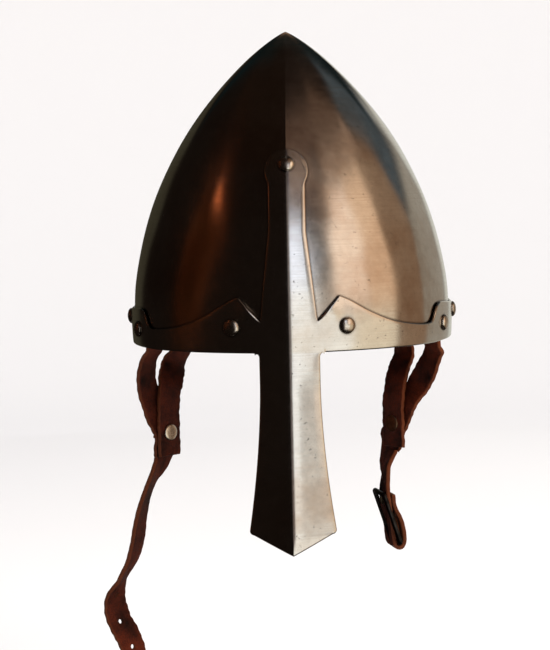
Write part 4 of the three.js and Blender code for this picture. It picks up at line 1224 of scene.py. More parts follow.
@dataclass
class Liner:
    """The leather headband and its tongues, drawn together under the crown by a lace."""

    shape: SkullShape
    face: float = -5.0
    thickness: float = 2.0
    bottom: float = 3.0
    band_top: float = 38.0
    tip: float = 136.0
    tip_radius: float = 28.0
    lean_power: float = 3.5
    count: int = 8
    fill: float = 0.86
    waist: float = 0.12
    tip_corner: float = 3.0
    tip_corner_share: float = 0.2
    slot_half_width: float = 10.5
    slot_half_height: float = 0.95
    slot_margin: float = 0.7
    lace_radius: float = 1.1
    lace_drop: float = 1.75
    lace_lean: float = 0.3
    weave_flat: float = 0.6
    weave_room: float = 1.25
    edge_round: float = 0.3
    row_rises: tuple = (0.0, 1.4, 4.0, 8.0, 14.0, 20.0, 26.0, 31.0, 33.8)

    def skin(self, depth: float) -> Shape:
        """The leather's surface at a depth below its outer face.

        The shell at the liner's offset, drawn in towards the axis by (1 - l s^p) for s from the
        headband's top to the tip, and moved inwards by the depth along its normal.

        Args:
            depth: Millimetres inwards from the outer face.

        Returns:
            A function from azimuth and height to points.
        """
        shape = self.shape
        share = (self.tip / (shape.height + shape.apex_share * self.face)) ** shape.profile_power
        reach = (shape.half_width + self.face) * (1.0 - share) ** shape.roundness
        lean = 1.0 - self.tip_radius / reach

        def outer(azimuth: Array, height: Array) -> Array:
            """The outer face of headband and tongues.

            Args:
                azimuth: Degrees from the nasal.
                height: Millimetres above the rim.

            Returns:
                The points.
            """
            s = np.maximum(height - self.band_top, 0.0) / (self.tip - self.band_top)
            drawn = (1.0 - lean * s ** self.lean_power)[..., None]
            shares = np.concatenate([drawn, drawn, np.ones_like(drawn)], axis=-1)
            return shape.shell(azimuth, height, self.face) * shares

        def point(azimuth: Array, height: Array) -> Array:
            """The place of an azimuth and height.

            Args:
                azimuth: Degrees from the nasal.
                height: Millimetres above the rim.

            Returns:
                The points.
            """
            across = outer(azimuth + 0.5, height) - outer(azimuth - 0.5, height)
            up = outer(azimuth, height) - outer(azimuth, height - 0.5)
            sunk = outer(azimuth, height) - depth * unit(np.cross(across, up))
            low = height[..., None] <= self.band_top
            return np.where(low, shape.shell(azimuth, height, self.face - depth), sunk)

        return point

    def grids(self) -> list[Array]:
        """The parameter grids of the headband and of each tongue, which has a slot for the lace.

        Returns:
            The grids, which share their pairs where they meet.
        """
        pitch = 360.0 / self.count
        half = pitch / 2.0 * self.fill
        slot = self.slot_half_width / half
        across = np.array([-1.0, -0.93, -0.75, -slot, -0.3, 0.0, 0.3, slot, 0.75, 0.93, 1.0])
        centres = (np.arange(self.count) + 0.5) * pitch
        gap = half + (pitch - 2 * half) * np.array([0.25, 0.5, 0.75])
        turns = (centres[:, None] + np.concatenate([across * half, gap])).ravel()
        columns = np.append(turns, centres[0] - half + 360.0)
        rows = self.bottom + np.append(self.row_rises, self.band_top - self.bottom)
        grids = [np.stack(np.meshgrid(columns, rows), axis=-1)]
        lace = self.tip - self.lace_drop
        low, high = lace - self.slot_half_height, lace + self.slot_half_height
        climb = np.sin(np.radians(np.linspace(0.0, 90.0, 30)))
        climb = lerp(self.band_top, self.tip, climb)
        climb = climb[climb < low - self.slot_margin]
        whole, beside_slot = (across,), (across[:4], across[7:])
        for rise, parts in ((np.append(climb, low), whole), (np.array([low, lace, high]), beside_slot),
                            (np.array([high, self.tip]), whole)):
            for centre in centres:
                grids.extend(self.tongue(centre, half, part, rise) for part in parts)
        return grids

    def tongue(self, centre: float, half: float, across: Array, rise: Array) -> Array:
        """Part of a tongue's grid: its half width narrows by a sine to a waist and rounds off at the tip.

        Args:
            centre: The azimuth of the tongue's middle.
            half: Half its width in degrees at the headband.
            across: Places across it, from -1 to 1.
            rise: Heights above the rim.

        Returns:
            The grid.
        """
        s = (rise - self.band_top) / (self.tip - self.band_top)
        near = np.clip(1.0 - (self.tip - rise) / self.tip_corner, 0.0, 1.0)
        corner = 1.0 - self.tip_corner_share * (1.0 - np.sqrt(1.0 - near ** 2))
        slim = (1.0 - self.waist * np.sin(np.pi * s)) * corner
        azimuth = centre + half * slim[:, None] * across
        return np.stack([azimuth, np.repeat(rise[:, None], len(across), 1)], axis=-1)

    def lace(self) -> Array:
        """The lace's path: round the tips in a circle of the tongues' leather, over and under by a sine.

        Returns:
            Points of the path.
        """
        azimuth = np.linspace(0.0, 360.0, 192, endpoint=False)
        height = np.full_like(azimuth, self.tip - self.lace_drop)
        middle = self.skin(self.thickness / 2.0)(azimuth, height)
        weave = np.sin(np.radians((azimuth - 180.0 / self.count) * self.count / 2.0))
        swing = weave + self.weave_flat * (weave - weave ** 3)
        out = unit(middle * [1.0, 1.0, 0.0]) * self.lace_lean + [0.0, 0.0, 1.0]
        depth = self.thickness / 2.0 + self.lace_radius + GAP
        return middle + unit(out) * (self.weave_room * depth * swing)[:, None]

    def build(self, finishes: Finishes) -> None:
        """Makes the liner with its rounded leather edges, and the lace.

        Args:
            finishes: The materials.
        """
        outer, inner = self.skin(0.0), self.skin(self.thickness)
        piece = plate("leather_liner", self.grids(), outer, inner, self.edge_round)
        dress(piece, finishes.liner, "liner_leather", "liner")
        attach(piece, "helmet")
        path = self.lace()
        rings = wire(path, np.full(len(path), self.lace_radius), 14, UP, True)
        piece = swept("crown_lace", rings, True)
        dress(piece, finishes.lace, "lace_leather", "liner_lace")
        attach(piece, "helmet")


# Chin straps


def width_way(side: Side, facing: Array) -> Array:
    """The way that a strap's width lies, level, turned inwards by a facing from fore and aft."""
    angle = np.radians(facing)
    return np.stack([-side.value * np.sin(angle), np.cos(angle), np.zeros_like(angle)], axis=-1)


def face_way(side: Side, facing: Array) -> Array:
    """The way that a strap's outer face looks at a facing."""
    angle = np.radians(facing)
    return np.stack([side.value * np.cos(angle), np.sin(angle), np.zeros_like(angle)], axis=-1)


@dataclass
class Course:
    """Where a strap's middle runs and how the strap lies there, by distance along it.

    The middle is a spline through the knots. The width faces as the knots say, evenly turned
    between them and square to the run, and the outward way is square to both.
    """

    side: Side
    knots: Array
    facings: Array
    distance: Array = field(init=False)
    at_knots: Array = field(init=False)
    lines: Array = field(init=False)

    def __post_init__(self) -> None:
        """Works out the lines of the middle, the width and the outward way."""
        curve, places = spline(self.knots)
        self.distance = np.append(0.0, np.cumsum(np.linalg.norm(np.diff(curve, axis=0), axis=1)))
        self.at_knots = np.interp(np.arange(len(self.knots)), places, self.distance)
        along = unit(np.gradient(curve, self.distance, axis=0))
        facing = np.interp(self.distance, self.at_knots, self.facings)
        across = square_to(width_way(self.side, facing), along)
        out = self.side.value * np.cross(along, across)
        self.lines = np.concatenate([curve, across, out], axis=1)

    @property
    def length(self) -> float:
        """The strap's length."""
        return float(self.distance[-1])

    def place(self, distance: Array, across: Array, out: Array) -> Array:
        """Points at a distance along the strap, a distance across it and a height over its middle.

        Args:
            distance: Millimetres along.
            across: Millimetres from the middle.
            out: Millimetres outwards.

        Returns:
            The points.
        """
        found = np.stack([np.interp(distance, self.distance, line) for line in self.lines.T], axis=-1)
        wide, high = unit(found[:, 3:6]), unit(found[:, 6:9])
        return found[:, :3] + wide * across[:, None] + high * out[:, None]


@dataclass(frozen=True)
class Opening:
    """A punched hole or slot: a round punch run from one distance along the strap to another."""

    start: float
    end: float
    radius: float


@dataclass
class Strap:
    """A strap cut flat with its openings, then laid along its course."""

    name: str
    course: Course
    openings: list[Opening] = field(default_factory=list)
    taper: float = 0.0
    width: float = STRAP_WIDTH
    thickness: float = STRAP_THICKNESS
    patch: float = 3.9
    strips: Pair = (6.0, 8.0)
    step: float = 1.3
    edge_round: float = 0.65
    tip_share: float = 0.35
    wear: float = 0.022
    wear_waves: Pair = (0.43, 1.07)
    rim_radius: float = 130.0
    rim_distance: float = 21.0
    rim_fade: Pair = (4.0, 6.0)

    def rows(self, low: float, high: float) -> Array:
        """Distances from low to high, closer towards a tapered tip.

        Args:
            low: The first distance.
            high: The last one.

        Returns:
            The distances.
        """
        count = math.ceil((high - low) / self.step)
        rows = np.linspace(low, high, count + 1)
        if self.taper and high == self.course.length:
            start = high - self.taper
            tip = start + self.taper * np.sin(np.radians([0.0, 15.0, 30.0, 45.0, 57.0, 65.0, 90.0]))
            rows = np.append(np.linspace(low, start, count)[:-1], tip)
        return rows

    def grids(self) -> list[Array]:
        """The flat strap as grids of distance along and across.

        Two long strips run beside a middle strip. In the middle strip each opening has a patch,
        whose points are joined to the nearest points of the opening's edge.

        Returns:
            The grids, which share their pairs where they meet.
        """
        strip = np.array([self.patch, *self.strips, self.width / 2.0])
        middle = self.patch * np.linspace(-1.0, 1.0, 5)
        ends = [(opening.start - self.patch, opening.end + self.patch) for opening in self.openings]
        marks = [0.0, *(mark for pair in ends for mark in pair), self.course.length]
        spans = [self.rows(low, high) for low, high in zip(marks, marks[1:])]
        pairs = [(rows, columns) for rows in spans for columns in (-strip[::-1], strip)]
        pairs += [(rows, middle) for rows in spans[::2]]
        plain = [np.stack(np.meshgrid(*pair, indexing="ij"), axis=-1) for pair in pairs]
        punched = zip(spans[1::2], self.openings)
        return plain + [self.patch_grid(rows, middle, opening) for rows, opening in punched]

    def patch_grid(self, rows: Array, columns: Array, opening: Opening) -> Array:
        """The ring of leather between an opening and the rectangle round it, in three rounds.

        Args:
            rows: Distances along, from one end of the rectangle to the other.
            columns: Distances across.
            opening: The opening.

        Returns:
            The grid, from the opening outwards and once round.
        """
        far = np.column_stack([np.full_like(columns, rows[-1]), columns])
        right = np.column_stack([rows[::-1], np.full_like(rows, columns[-1])])
        near = np.column_stack([np.full_like(columns, rows[0]), columns[::-1]])
        left = np.column_stack([rows, np.full_like(rows, columns[0])])
        border = np.vstack([far[:-1], right[:-1], near[:-1], left])
        along = np.clip(border[:, 0], opening.start, opening.end)
        middle = np.column_stack([along, np.zeros(len(border))])
        rim = middle + unit(border - middle) * opening.radius
        return lerp(rim[None], border[None], np.array([0.0, 0.5, 1.0])[:, None, None])

    def skin(self, lift: float) -> Shape:
        """The strap's face at a height over its middle, curved to the rim where it is a tab inside it.

        Args:
            lift: Millimetres over the middle.

        Returns:
            A function from distances along and across to points.
        """
        course = self.course

        def point(distance: Array, across: Array) -> Array:
            """The place of a distance along and across.

            Args:
                distance: Millimetres along.
                across: Millimetres from the middle.

            Returns:
                The points.
            """
            left = np.clip((course.length - distance) / self.taper, 0.0, 1.0) if self.taper else 1.0
            across = across * lerp(self.tip_share, 1.0, np.sqrt(left))
            slow, quick = self.wear_waves
            worn = np.sin(slow * distance) + np.sin(quick * distance + across)
            across = across * (1.0 + self.wear * worn)
            before, after = self.rim_fade
            rim = 1.0 - smoothstep(distance, self.rim_distance - before, self.rim_distance + after)
            return course.place(distance, across, lift - rim * across ** 2 / (2.0 * self.rim_radius))

        return point

    def build(self, finishes: Finishes, *nodes: str) -> Object:
        """Makes the strap with its rounded edges.

        Args:
            finishes: The materials.
            *nodes: The solids that it stands for.

        Returns:
            The piece.
        """
        half = self.thickness / 2.0
        piece = plate(self.name, self.grids(), self.skin(half), self.skin(-half), self.edge_round)
        return dress(piece, finishes.strap, "strap_leather", *nodes)


@dataclass(frozen=True)
class Fork:
    """The legs of one side, the rivet that joins them and what hangs below it.

    Each row of a route says how far out, back and down it passes, as shares of the helmet's half
    width, its half depth and the fork's drop, and then the strap's facing.
    """

    side: Side
    reach: float
    drop: float
    front: tuple
    rear: tuple
    hang: tuple
    hang_slant: float
    shape: SkullShape
    back: float = 50.0
    facing: float = 42.0
    pitch: float = STRAP_PITCH
    thickness: float = STRAP_THICKNESS
    front_slant: float = 31.0
    flat: float = 13.0
    tail: float = 16.0
    spring: float = 2.4
    untwist: float = 12.0
    hinge_drop: float = 6.0
    cap_radius: float = 5.5
    tab_face: float = -3.3
    tab_top: float = 21.0
    front_azimuth: float = 107.0
    rear_azimuth: float = 130.0

    @property
    def inner(self) -> Array:
        """The middle of the rear leg at the joining rivet."""
        return vector(self.side.value * self.reach, self.back, -self.drop)

    @property
    def outer(self) -> Array:
        """The middle of the front leg at the joining rivet."""
        return self.inner + self.pitch * face_way(self.side, self.facing)

    def hinge(self, azimuth: float) -> Array:
        """The point below the rim about which a leg swings."""
        place = self.shape.shell(self.side.value * azimuth, 0.0, self.tab_face)
        return vector(place[0], place[1], -self.hinge_drop)

    def beside(self, start: Array, rise: float, slant: float) -> Array:
        """A point above or below another in the plane of the fork, off the vertical by a slant."""
        aside = -rise * math.tan(math.radians(slant))
        return start + aside * width_way(self.side, self.facing) + vector(0.0, 0.0, rise)

    def passing(self, rows: tuple) -> Knots:
        """The knots of part of a route, from its shares.

        Args:
            rows: The route's rows.

        Returns:
            Points with their facings.
        """
        half_width, half_depth = self.shape.half_width, self.shape.half_depth
        return [(vector(self.side.value * out * half_width, back * half_depth, -down * self.drop), facing)
                for out, back, down, facing in rows]

    def leg(self, azimuth: float, rows: tuple, end: Array, slant: float) -> Knots:
        """The knots of a leg: up the skull's inner wall, over the hinge and down to the fork.

        Args:
            azimuth: Where the leg is riveted to the rim.
            rows: Its route between hinge and fork.
            end: Its middle at the joining rivet.
            slant: How far off the vertical it comes there.

        Returns:
            Points with their facings.
        """
        sign = self.side.value
        turned = sign * azimuth
        speed = sign * (self.shape.shell(turned + 0.5, 0.0) - self.shape.shell(turned - 0.5, 0.0))
        tab_facing = math.degrees(math.atan2(-sign * speed[0], speed[1]))
        tab = [(self.shape.shell(turned, height, self.tab_face), tab_facing)
               for height in (self.tab_top, self.tab_top / 2.0, 0.0)]
        hinge = self.hinge(azimuth)
        line = sign * (self.hinge(self.rear_azimuth) - self.hinge(self.front_azimuth))
        hung = math.degrees(math.atan2(-line[0], sign * line[1]))
        below = hinge - vector(0.0, 0.0, self.thickness)
        joined = [(self.beside(end, self.flat * share, slant), self.facing) for share in (1.0, 0.5, 0.0)]
        return [*tab, (hinge, hung), (below, hung), *self.passing(rows), *joined]

    def course(self, knots: Knots) -> Course:
        """The course through knots and their facings."""
        places, facings = zip(*knots)
        return Course(self.side, np.array(places), np.array(facings))

    def long_knots(self) -> Knots:
        """The knots of the front leg and of what hangs from it.

        Below the rivet the strap lies flat on the rear leg's tail for half its length, then
        springs off it and begins to turn back to how it hangs.

        Returns:
            Points with their facings.
        """
        reach = self.tail + self.thickness
        flat = self.beside(self.outer, -0.5 * reach, self.hang_slant)
        free = self.beside(self.outer, -reach, self.hang_slant)
        free = free + self.spring * face_way(self.side, self.facing)
        below = [(flat, self.facing), (free, self.facing - self.untwist)]
        front = self.leg(self.front_azimuth, self.front, self.outer, self.front_slant)
        return [*front, *below, *self.passing(self.hang)]

    def swing(self, piece: Object, azimuth: float) -> None:
        """Bakes the strap's place into its mesh. The hinge point below the rim, about which the leg was to
        bend, is worked out and not used.

        Args:
            piece: The strap.
            azimuth: Where the leg is riveted to the rim.
        """
        x, y, _ = self.hinge(azimuth) * MM
        self.side.body
        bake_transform(piece)

    def build_rear_leg(self, finishes: Finishes) -> None:
        """Makes the rear leg, which ends in a tail below the rivet.

        Args:
            finishes: The materials.
        """
        knots = self.leg(self.rear_azimuth, self.rear, self.inner, 0.0)
        knots.append((self.inner - vector(0.0, 0.0, self.tail), self.facing))
        word = self.side.word
        strap = Strap(f"rear_strap_leg_{word}", self.course(knots))
        self.swing(strap.build(finishes, f"rear_leg_{word}", f"rear_tab_{word}"), self.rear_azimuth)

    def build_rivet(self, finish: Material) -> None:
        """Makes the rivet that joins the legs.

        Args:
            finish: The caps' material.
        """
        profile = cap_profile(self.cap_radius, (self.pitch + self.thickness) / 2.0)
        middle = (self.inner + self.outer) / 2.0
        rings = stood_on(spun(profile, 40), middle, face_way(self.side, self.facing))
        piece = swept(f"fork_rivet_caps_{self.side.word}", rings, False)
        dress(piece, finish, "rivet_steel", f"fork_rivet_{self.side.word}")
        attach(piece, self.side.body)


def cap_profile(radius: float, reach: float, shank: float = 1.6, height: float = 1.2,
                rim: float = 0.3, chamfer: float = 0.1, power: float = 0.7) -> Array:
    """Radius and height of a rivet with a low cap on each face: a superellipse over a rim.

    Args:
        radius: The caps' radius.
        reach: Half the thickness that the rivet goes through.
        shank: The shank's radius.
        height: The caps' height.
        rim: The height of a cap's upright edge.
        chamfer: The chamfer under that edge.
        power: The power of the superellipse, whose cosine and sine are raised to it.

    Returns:
        The profile from the lower cap's middle to the upper one's.
    """
    turn = np.radians(np.linspace(0.0, 90.0, 10))
    foot = reach + GAP
    crown = np.column_stack([radius * np.cos(turn) ** power,
                             foot + rim + (height - rim) * np.sin(turn) ** power])
    crown[-1, 0] = 0.0
    upper = np.vstack([[[shank, foot], [radius - chamfer, foot], [radius, foot + chamfer]], crown])
    return np.vstack([upper[::-1] * [1.0, -1.0], upper])


# Buckle


@dataclass(frozen=True)
class BucklePlace:
    """Where the buckle hangs: its origin is on the bar, u points outwards and v along the bar."""

    out: float = 66.0
    back: float = 50.0
    drop: float = 143.0
    facing: float = 14.0
    tilt: float = 18.2
    rod: float = 1.6
    fold_lean_share: float = 0.38
    strap_pitch: float = STRAP_PITCH
    strap_thickness: float = STRAP_THICKNESS
    fold_length: float = 33.0
    rivet_height: float = 28.5
    rivet_radius: float = 3.4

    @property
    def fold_offset(self) -> float:
        """From the bar's axis to the middle of the leather round it."""
        return self.rod + GAP + self.strap_thickness / 2.0

    @property
    def fold_lean(self) -> float:
        """The angle that the folded leather leans inwards by."""
        return math.radians(self.tilt * self.fold_lean_share)

    def at(self, out: Array, up: Array, along: Array = 0.0) -> Array:
        """The point a distance outwards, up and along the bar from the buckle's origin.

        Args:
            out: Millimetres outwards.
            up: Millimetres up.
            along: Millimetres along the bar.

        Returns:
            The point.
        """
        out, up, along = np.broadcast_arrays(out, up, along)
        u, v = face_way(Side.RIGHT, self.facing), width_way(Side.RIGHT, self.facing)
        origin = vector(self.out, self.back, -self.drop)
        return origin + out[..., None] * u + along[..., None] * v + up[..., None] * UP

    def in_frame(self, reach: Array, aside: Array, along: Array) -> Array:
        """The point a reach up the tilted frame, a distance to its outer side and along the bar."""
        cos, sin = math.cos(math.radians(self.tilt)), math.sin(math.radians(self.tilt))
        return self.at(aside * cos - reach * sin, reach * cos + aside * sin, along)

    def fold_knots(self) -> Knots:
        """The knots of the leather that comes down inside the bar, turns round it and goes up.

        Returns:
            Points with their facings.
        """
        offset, length = self.fold_offset, self.fold_length
        slope, layer = math.tan(self.fold_lean), self.strap_pitch / math.cos(self.fold_lean)
        rises = (length, self.rivet_height, 0.6 * length, 0.3 * length, 0.0)
        down = [(-offset - rise * slope, rise) for rise in rises]
        angles = np.radians([225.0, 270.0, 315.0])
        turn = [(offset * math.cos(angle), offset * math.sin(angle)) for angle in angles]
        back = [(offset, 0.0), (offset, 0.22 * length), (offset - layer / 2.0, 0.45 * length)]
        rises = (self.rivet_height - self.rivet_radius, length)
        top = [(layer - offset - rise * slope, rise) for rise in rises]
        return [(self.at(a, c), self.facing) for a, c in (*down, *turn, *back, *top)]


@dataclass(frozen=True)
class Buckle:
    """The iron frame and the tongue that turns on its bar."""

    place: BucklePlace
    width: float = 27.0
    length: float = 35.3
    corner: float = 3.0
    wire_radius: float = 1.1
    overhang: float = 3.4
    wrap: float = 280.0
    tip_shares: tuple[float, float, float] = (0.0, 0.65, 0.92)
    end_shares: Pair = (0.8, 0.0)

    def frame_path(self) -> Array:
        """The frame's middle: a rectangle with an arc at each corner.

        Returns:
            Points of the path.
        """
        half = self.width / 2.0 - self.place.rod
        turn = np.radians(np.linspace(0.0, 90.0, 9))
        arc = self.corner * np.column_stack([1.0 - np.sin(turn), 1.0 - np.cos(turn)])
        near_left = arc + [0.0, -half]
        near_right = arc[::-1] * [1.0, -1.0] + [0.0, half]
        far_right = [self.length, 0.0] + near_right[::-1] * [-1.0, 1.0]
        far_left = [self.length, 0.0] + near_left[::-1] * [-1.0, 1.0]
        path = np.vstack([near_left, near_right, far_right, far_left])
        return self.place.in_frame(path[:, 0], np.zeros(len(path)), path[:, 1])

    def tongue_path(self) -> Array:
        """The tongue's middle: down beside the frame, then a hook of a circle round the bar.

        Returns:
            Points of the path.
        """
        eye = self.place.rod + GAP + self.wire_radius
        tip = self.length + self.overhang
        reach = np.concatenate([[tip, tip - 0.3], np.linspace(tip - 1.0, 1.0, 24)])
        prong = self.place.in_frame(reach, np.full_like(reach, -eye), 0.0 * reach)
        start = 180.0 + self.place.tilt
        turn = np.radians(np.linspace(start, start + self.wrap, 44))
        hook = self.place.at(eye * np.cos(turn), eye * np.sin(turn))
        last = hook[-1] + 0.25 * unit(hook[-1] - hook[-2])
        return np.vstack([prong, hook, last[None]])

    def build(self, finishes: Finishes) -> None:
        """Makes frame and tongue of round iron wire.

        Args:
            finishes: The materials.
        """
        along_bar = width_way(Side.RIGHT, self.place.facing)
        path = self.frame_path()
        square = np.cross(path[0] - path[len(path) // 2], along_bar)
        rings = wire(path, np.full(len(path), self.place.rod), 16, unit(square), True)
        piece = swept("buckle_frame_rod", rings, True)
        dress(piece, finishes.iron, "buckle_iron", "buckle_frame")
        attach(piece, "buckle")
        path = self.tongue_path()
        shares = np.ones(len(path))
        shares[:3] = self.tip_shares
        shares[-2:] = self.end_shares
        radii = self.wire_radius * shares
        piece = swept("buckle_tongue_wire", wire(path, radii, 12, along_bar, False), False)
        dress(piece, finishes.iron, "buckle_iron", "buckle_tongue")
        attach(piece, "tongue")


@dataclass
class ChinStrap:
    """The two forks with the long strap at the left and the buckle strap at the right."""

    left: Fork
    right: Fork
    buckle: BucklePlace
    hole_radius: float = 1.5
    hole_pitch: float = 19.0
    hole_count: int = 7
    taper: float = 11.0
    long_drop: float = 224.0
    slot_half_width: float = 1.6
    slot_rise: float = 17.0

    def build_long_strap(self, finishes: Finishes) -> None:
        """Makes the left front leg and long strap, with its row of holes.

        Args:
            finishes: The materials.
        """
        knots = self.left.long_knots()
        tip, facing = knots[-1]
        knots.append((vector(tip[0], tip[1], -self.left.drop - self.long_drop), facing))
        course = self.left.course(knots)
        last = course.length - 2.0 * self.taper
        middles = [last - self.hole_pitch * k for k in reversed(range(self.hole_count))]
        holes = [Opening(middle, middle, self.hole_radius) for middle in middles]
        strap = Strap("long_strap_with_leg", course, holes, self.taper)
        piece = strap.build(finishes, "long_strap_left", "front_tab_left")
        self.left.swing(piece, self.left.front_azimuth)

    def build_buckle_strap(self, finishes: Finishes) -> None:
        """Makes the right front leg and the strap that is folded round the buckle's bar.

        Args:
            finishes: The materials.
        """
        knots = [*self.right.long_knots(), *self.buckle.fold_knots()]
        course = self.right.course(knots)
        # The seventh knot from the end is the lowest one, under the bar.
        bend = course.at_knots[len(knots) - 7]
        quarter = self.buckle.fold_offset * math.pi / 2.0
        straight = quarter + self.slot_rise - self.slot_half_width
        slot = Opening(bend - straight, bend + straight, self.slot_half_width)
        strap = Strap("buckle_strap_with_leg", course, [slot])
        piece = strap.build(finishes, "buckle_strap_right", "front_tab_right")
        self.right.swing(piece, self.right.front_azimuth)

    def build_fold_rivet(self, finishes: Finishes) -> None:
        """Makes the rivet that closes the fold.

        Args:
            finishes: The materials.
        """
        place, lean = self.buckle, self.buckle.fold_lean
        out = place.strap_pitch / 2.0 - place.fold_offset - place.rivet_height * math.tan(lean)
        way = math.cos(lean) * face_way(Side.RIGHT, place.facing) + vector(0.0, 0.0, math.sin(lean))
        profile = cap_profile(place.rivet_radius, (place.strap_pitch + place.strap_thickness) / 2.0)
        rings = stood_on(spun(profile, 32), place.at(out, place.rivet_height), way)
        piece = swept("fold_rivet_caps", rings, False)
        dress(piece, finishes.rivet, "rivet_steel", "fold_rivet")
        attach(piece, Side.RIGHT.body)

    def build(self, finishes: Finishes) -> None:
        """Makes every strap and rivet.

        Args:
            finishes: The materials.
        """
        self.build_long_strap(finishes)
        self.build_buckle_strap(finishes)
        self.build_fold_rivet(finishes)
        # The right fork's caps take the darker copy of the nickel, which paints their shade.
        for fork, cap in ((self.left, finishes.cap), (self.right, finishes.dull_cap)):
            fork.build_rear_leg(finishes)
            fork.build_rivet(cap)

    @classmethod
    def worn_open(cls, shape: SkullShape) -> "ChinStrap":
        """The straps as they hang when the buckle is undone.

        Args:
            shape: The skull's shape.

        Returns:
            The straps.
        """
        left = Fork(
            Side.LEFT, 85.2, 66.3,
            front=((0.955, 0.312, 0.25, 26), (0.975, 0.345, 0.48, 32)),
            rear=((0.805, 0.565, 0.32, 42), (0.832, 0.45, 0.54, 44)),
            hang=((0.955, 0.417, 1.46, 13), (0.99, 0.41, 1.58, 10), (1.022, 0.407, 1.72, 12),
                  (1.05, 0.407, 1.9, 16), (1.072, 0.407, 2.1, 19), (1.112, 0.407, 2.3, 17),
                  (1.185, 0.41, 2.5, 10), (1.235, 0.412, 2.7, 38), (1.215, 0.407, 2.9, 50),
                  (1.15, 0.4, 3.1, 52), (1.11, 0.4, 3.3, 44), (1.08, 0.4, 3.65, 40), (1.07, 0.4, 4.0, 38)),
            hang_slant=-4.0, shape=shape)
        right = Fork(
            Side.RIGHT, 65.9, 63.1,
            front=((0.918, 0.3, 0.21, 30), (0.87, 0.325, 0.42, 40), (0.818, 0.362, 0.58, 42)),
            rear=((0.735, 0.575, 0.28, 36), (0.68, 0.452, 0.52, 40)),
            hang=((0.598, 0.451, 1.52, 5),), hang_slant=28.0, shape=shape)
        return cls(left, right, BucklePlace())


# Studio


@dataclass(frozen=True)
class Card:
    """A curved board far from the helmet that shows only in its reflections.

    It is part of a sphere between two azimuths and two elevations, seen from the helmet. Its
    upright edges lean by a number of degrees of azimuth for each degree of elevation, and its glow
    fades to nothing over the feather at each edge.
    """

    name: str
    azimuths: Pair
    elevations: Pair
    colour: str
    strength: float
    lean: float = 0.0
    feather: float = 3.0

    def build(self, radius: float) -> Object:
        """Makes the board with a plain glowing face that is clear where it has faded.

        Args:
            radius: Millimetres from the helmet.

        Returns:
            The board.
        """
        columns, rows = np.linspace(*self.azimuths, 41), np.linspace(*self.elevations, 33)
        sideways, upward = np.meshgrid(columns, rows)
        glow = np.ones_like(sideways)
        for angle, (low, high) in ((sideways, self.azimuths), (upward, self.elevations)):
            glow *= smoothstep(np.minimum(angle - low, high - angle), 0.0, self.feather)
        azimuth, elevation = np.radians(sideways + self.lean * upward), np.radians(upward)
        level = radius * np.cos(elevation)
        places = [level * np.sin(azimuth), -level * np.cos(azimuth), radius * np.sin(elevation)]
        points = np.stack(places, axis=-1)
        quads = faces_of(np.arange(azimuth.size).reshape(azimuth.shape))
        mesh = mesh_of(self.name, points, quads.tolist())
        layer = mesh.attributes.new(GLOW, "FLOAT", "POINT")
        layer.data.foreach_set("value", glow.astype(np.float32).ravel())
        board = put_in_scene(self.name, mesh)
        board.visible_camera = board.visible_diffuse = board.visible_shadow = False
        material, tree = fresh_material(self.name)
        shine = {"Color": linear(self.colour), "Strength": self.strength}
        light = node(tree, "ShaderNodeEmission", shine)
        clear = node(tree, "ShaderNodeBsdfTransparent")
        share = node(tree, "ShaderNodeAttribute", {"attribute_name": GLOW}).outputs["Fac"]
        both = node(tree, "ShaderNodeMixShader", links={0: share, 1: clear, 2: light})
        node(tree, "ShaderNodeOutputMaterial", links={"Surface": both})
        mesh.materials.append(material)
        return board


@dataclass(frozen=True)
class Softbox:
    """A square area light that looks at the helmet."""

    name: str
    azimuth: float
    elevation: float
    size: float
    watts: float
    colour: str
    distance: float = 2.2

    def build(self) -> None:
        """Makes the light."""
        light = bpy.data.lights.new(self.name, "AREA")
        light.size, light.energy, light.color = self.size, self.watts, linear(self.colour)[:3]
        turn, lift = math.radians(self.azimuth), math.radians(self.elevation)
        level = math.cos(lift)
        away = vector(level * math.sin(turn), -level * math.cos(turn), math.sin(lift))
        side = unit(np.cross(UP, away))
        axes = np.stack([side, np.cross(away, side), away], axis=1)
        box = put_in_scene(self.name, light)
        box.visible_glossy = False
        stand = Matrix.Translation((away * self.distance).tolist())
        box.matrix_world = stand @ Matrix(axes.tolist()).to_4x4()


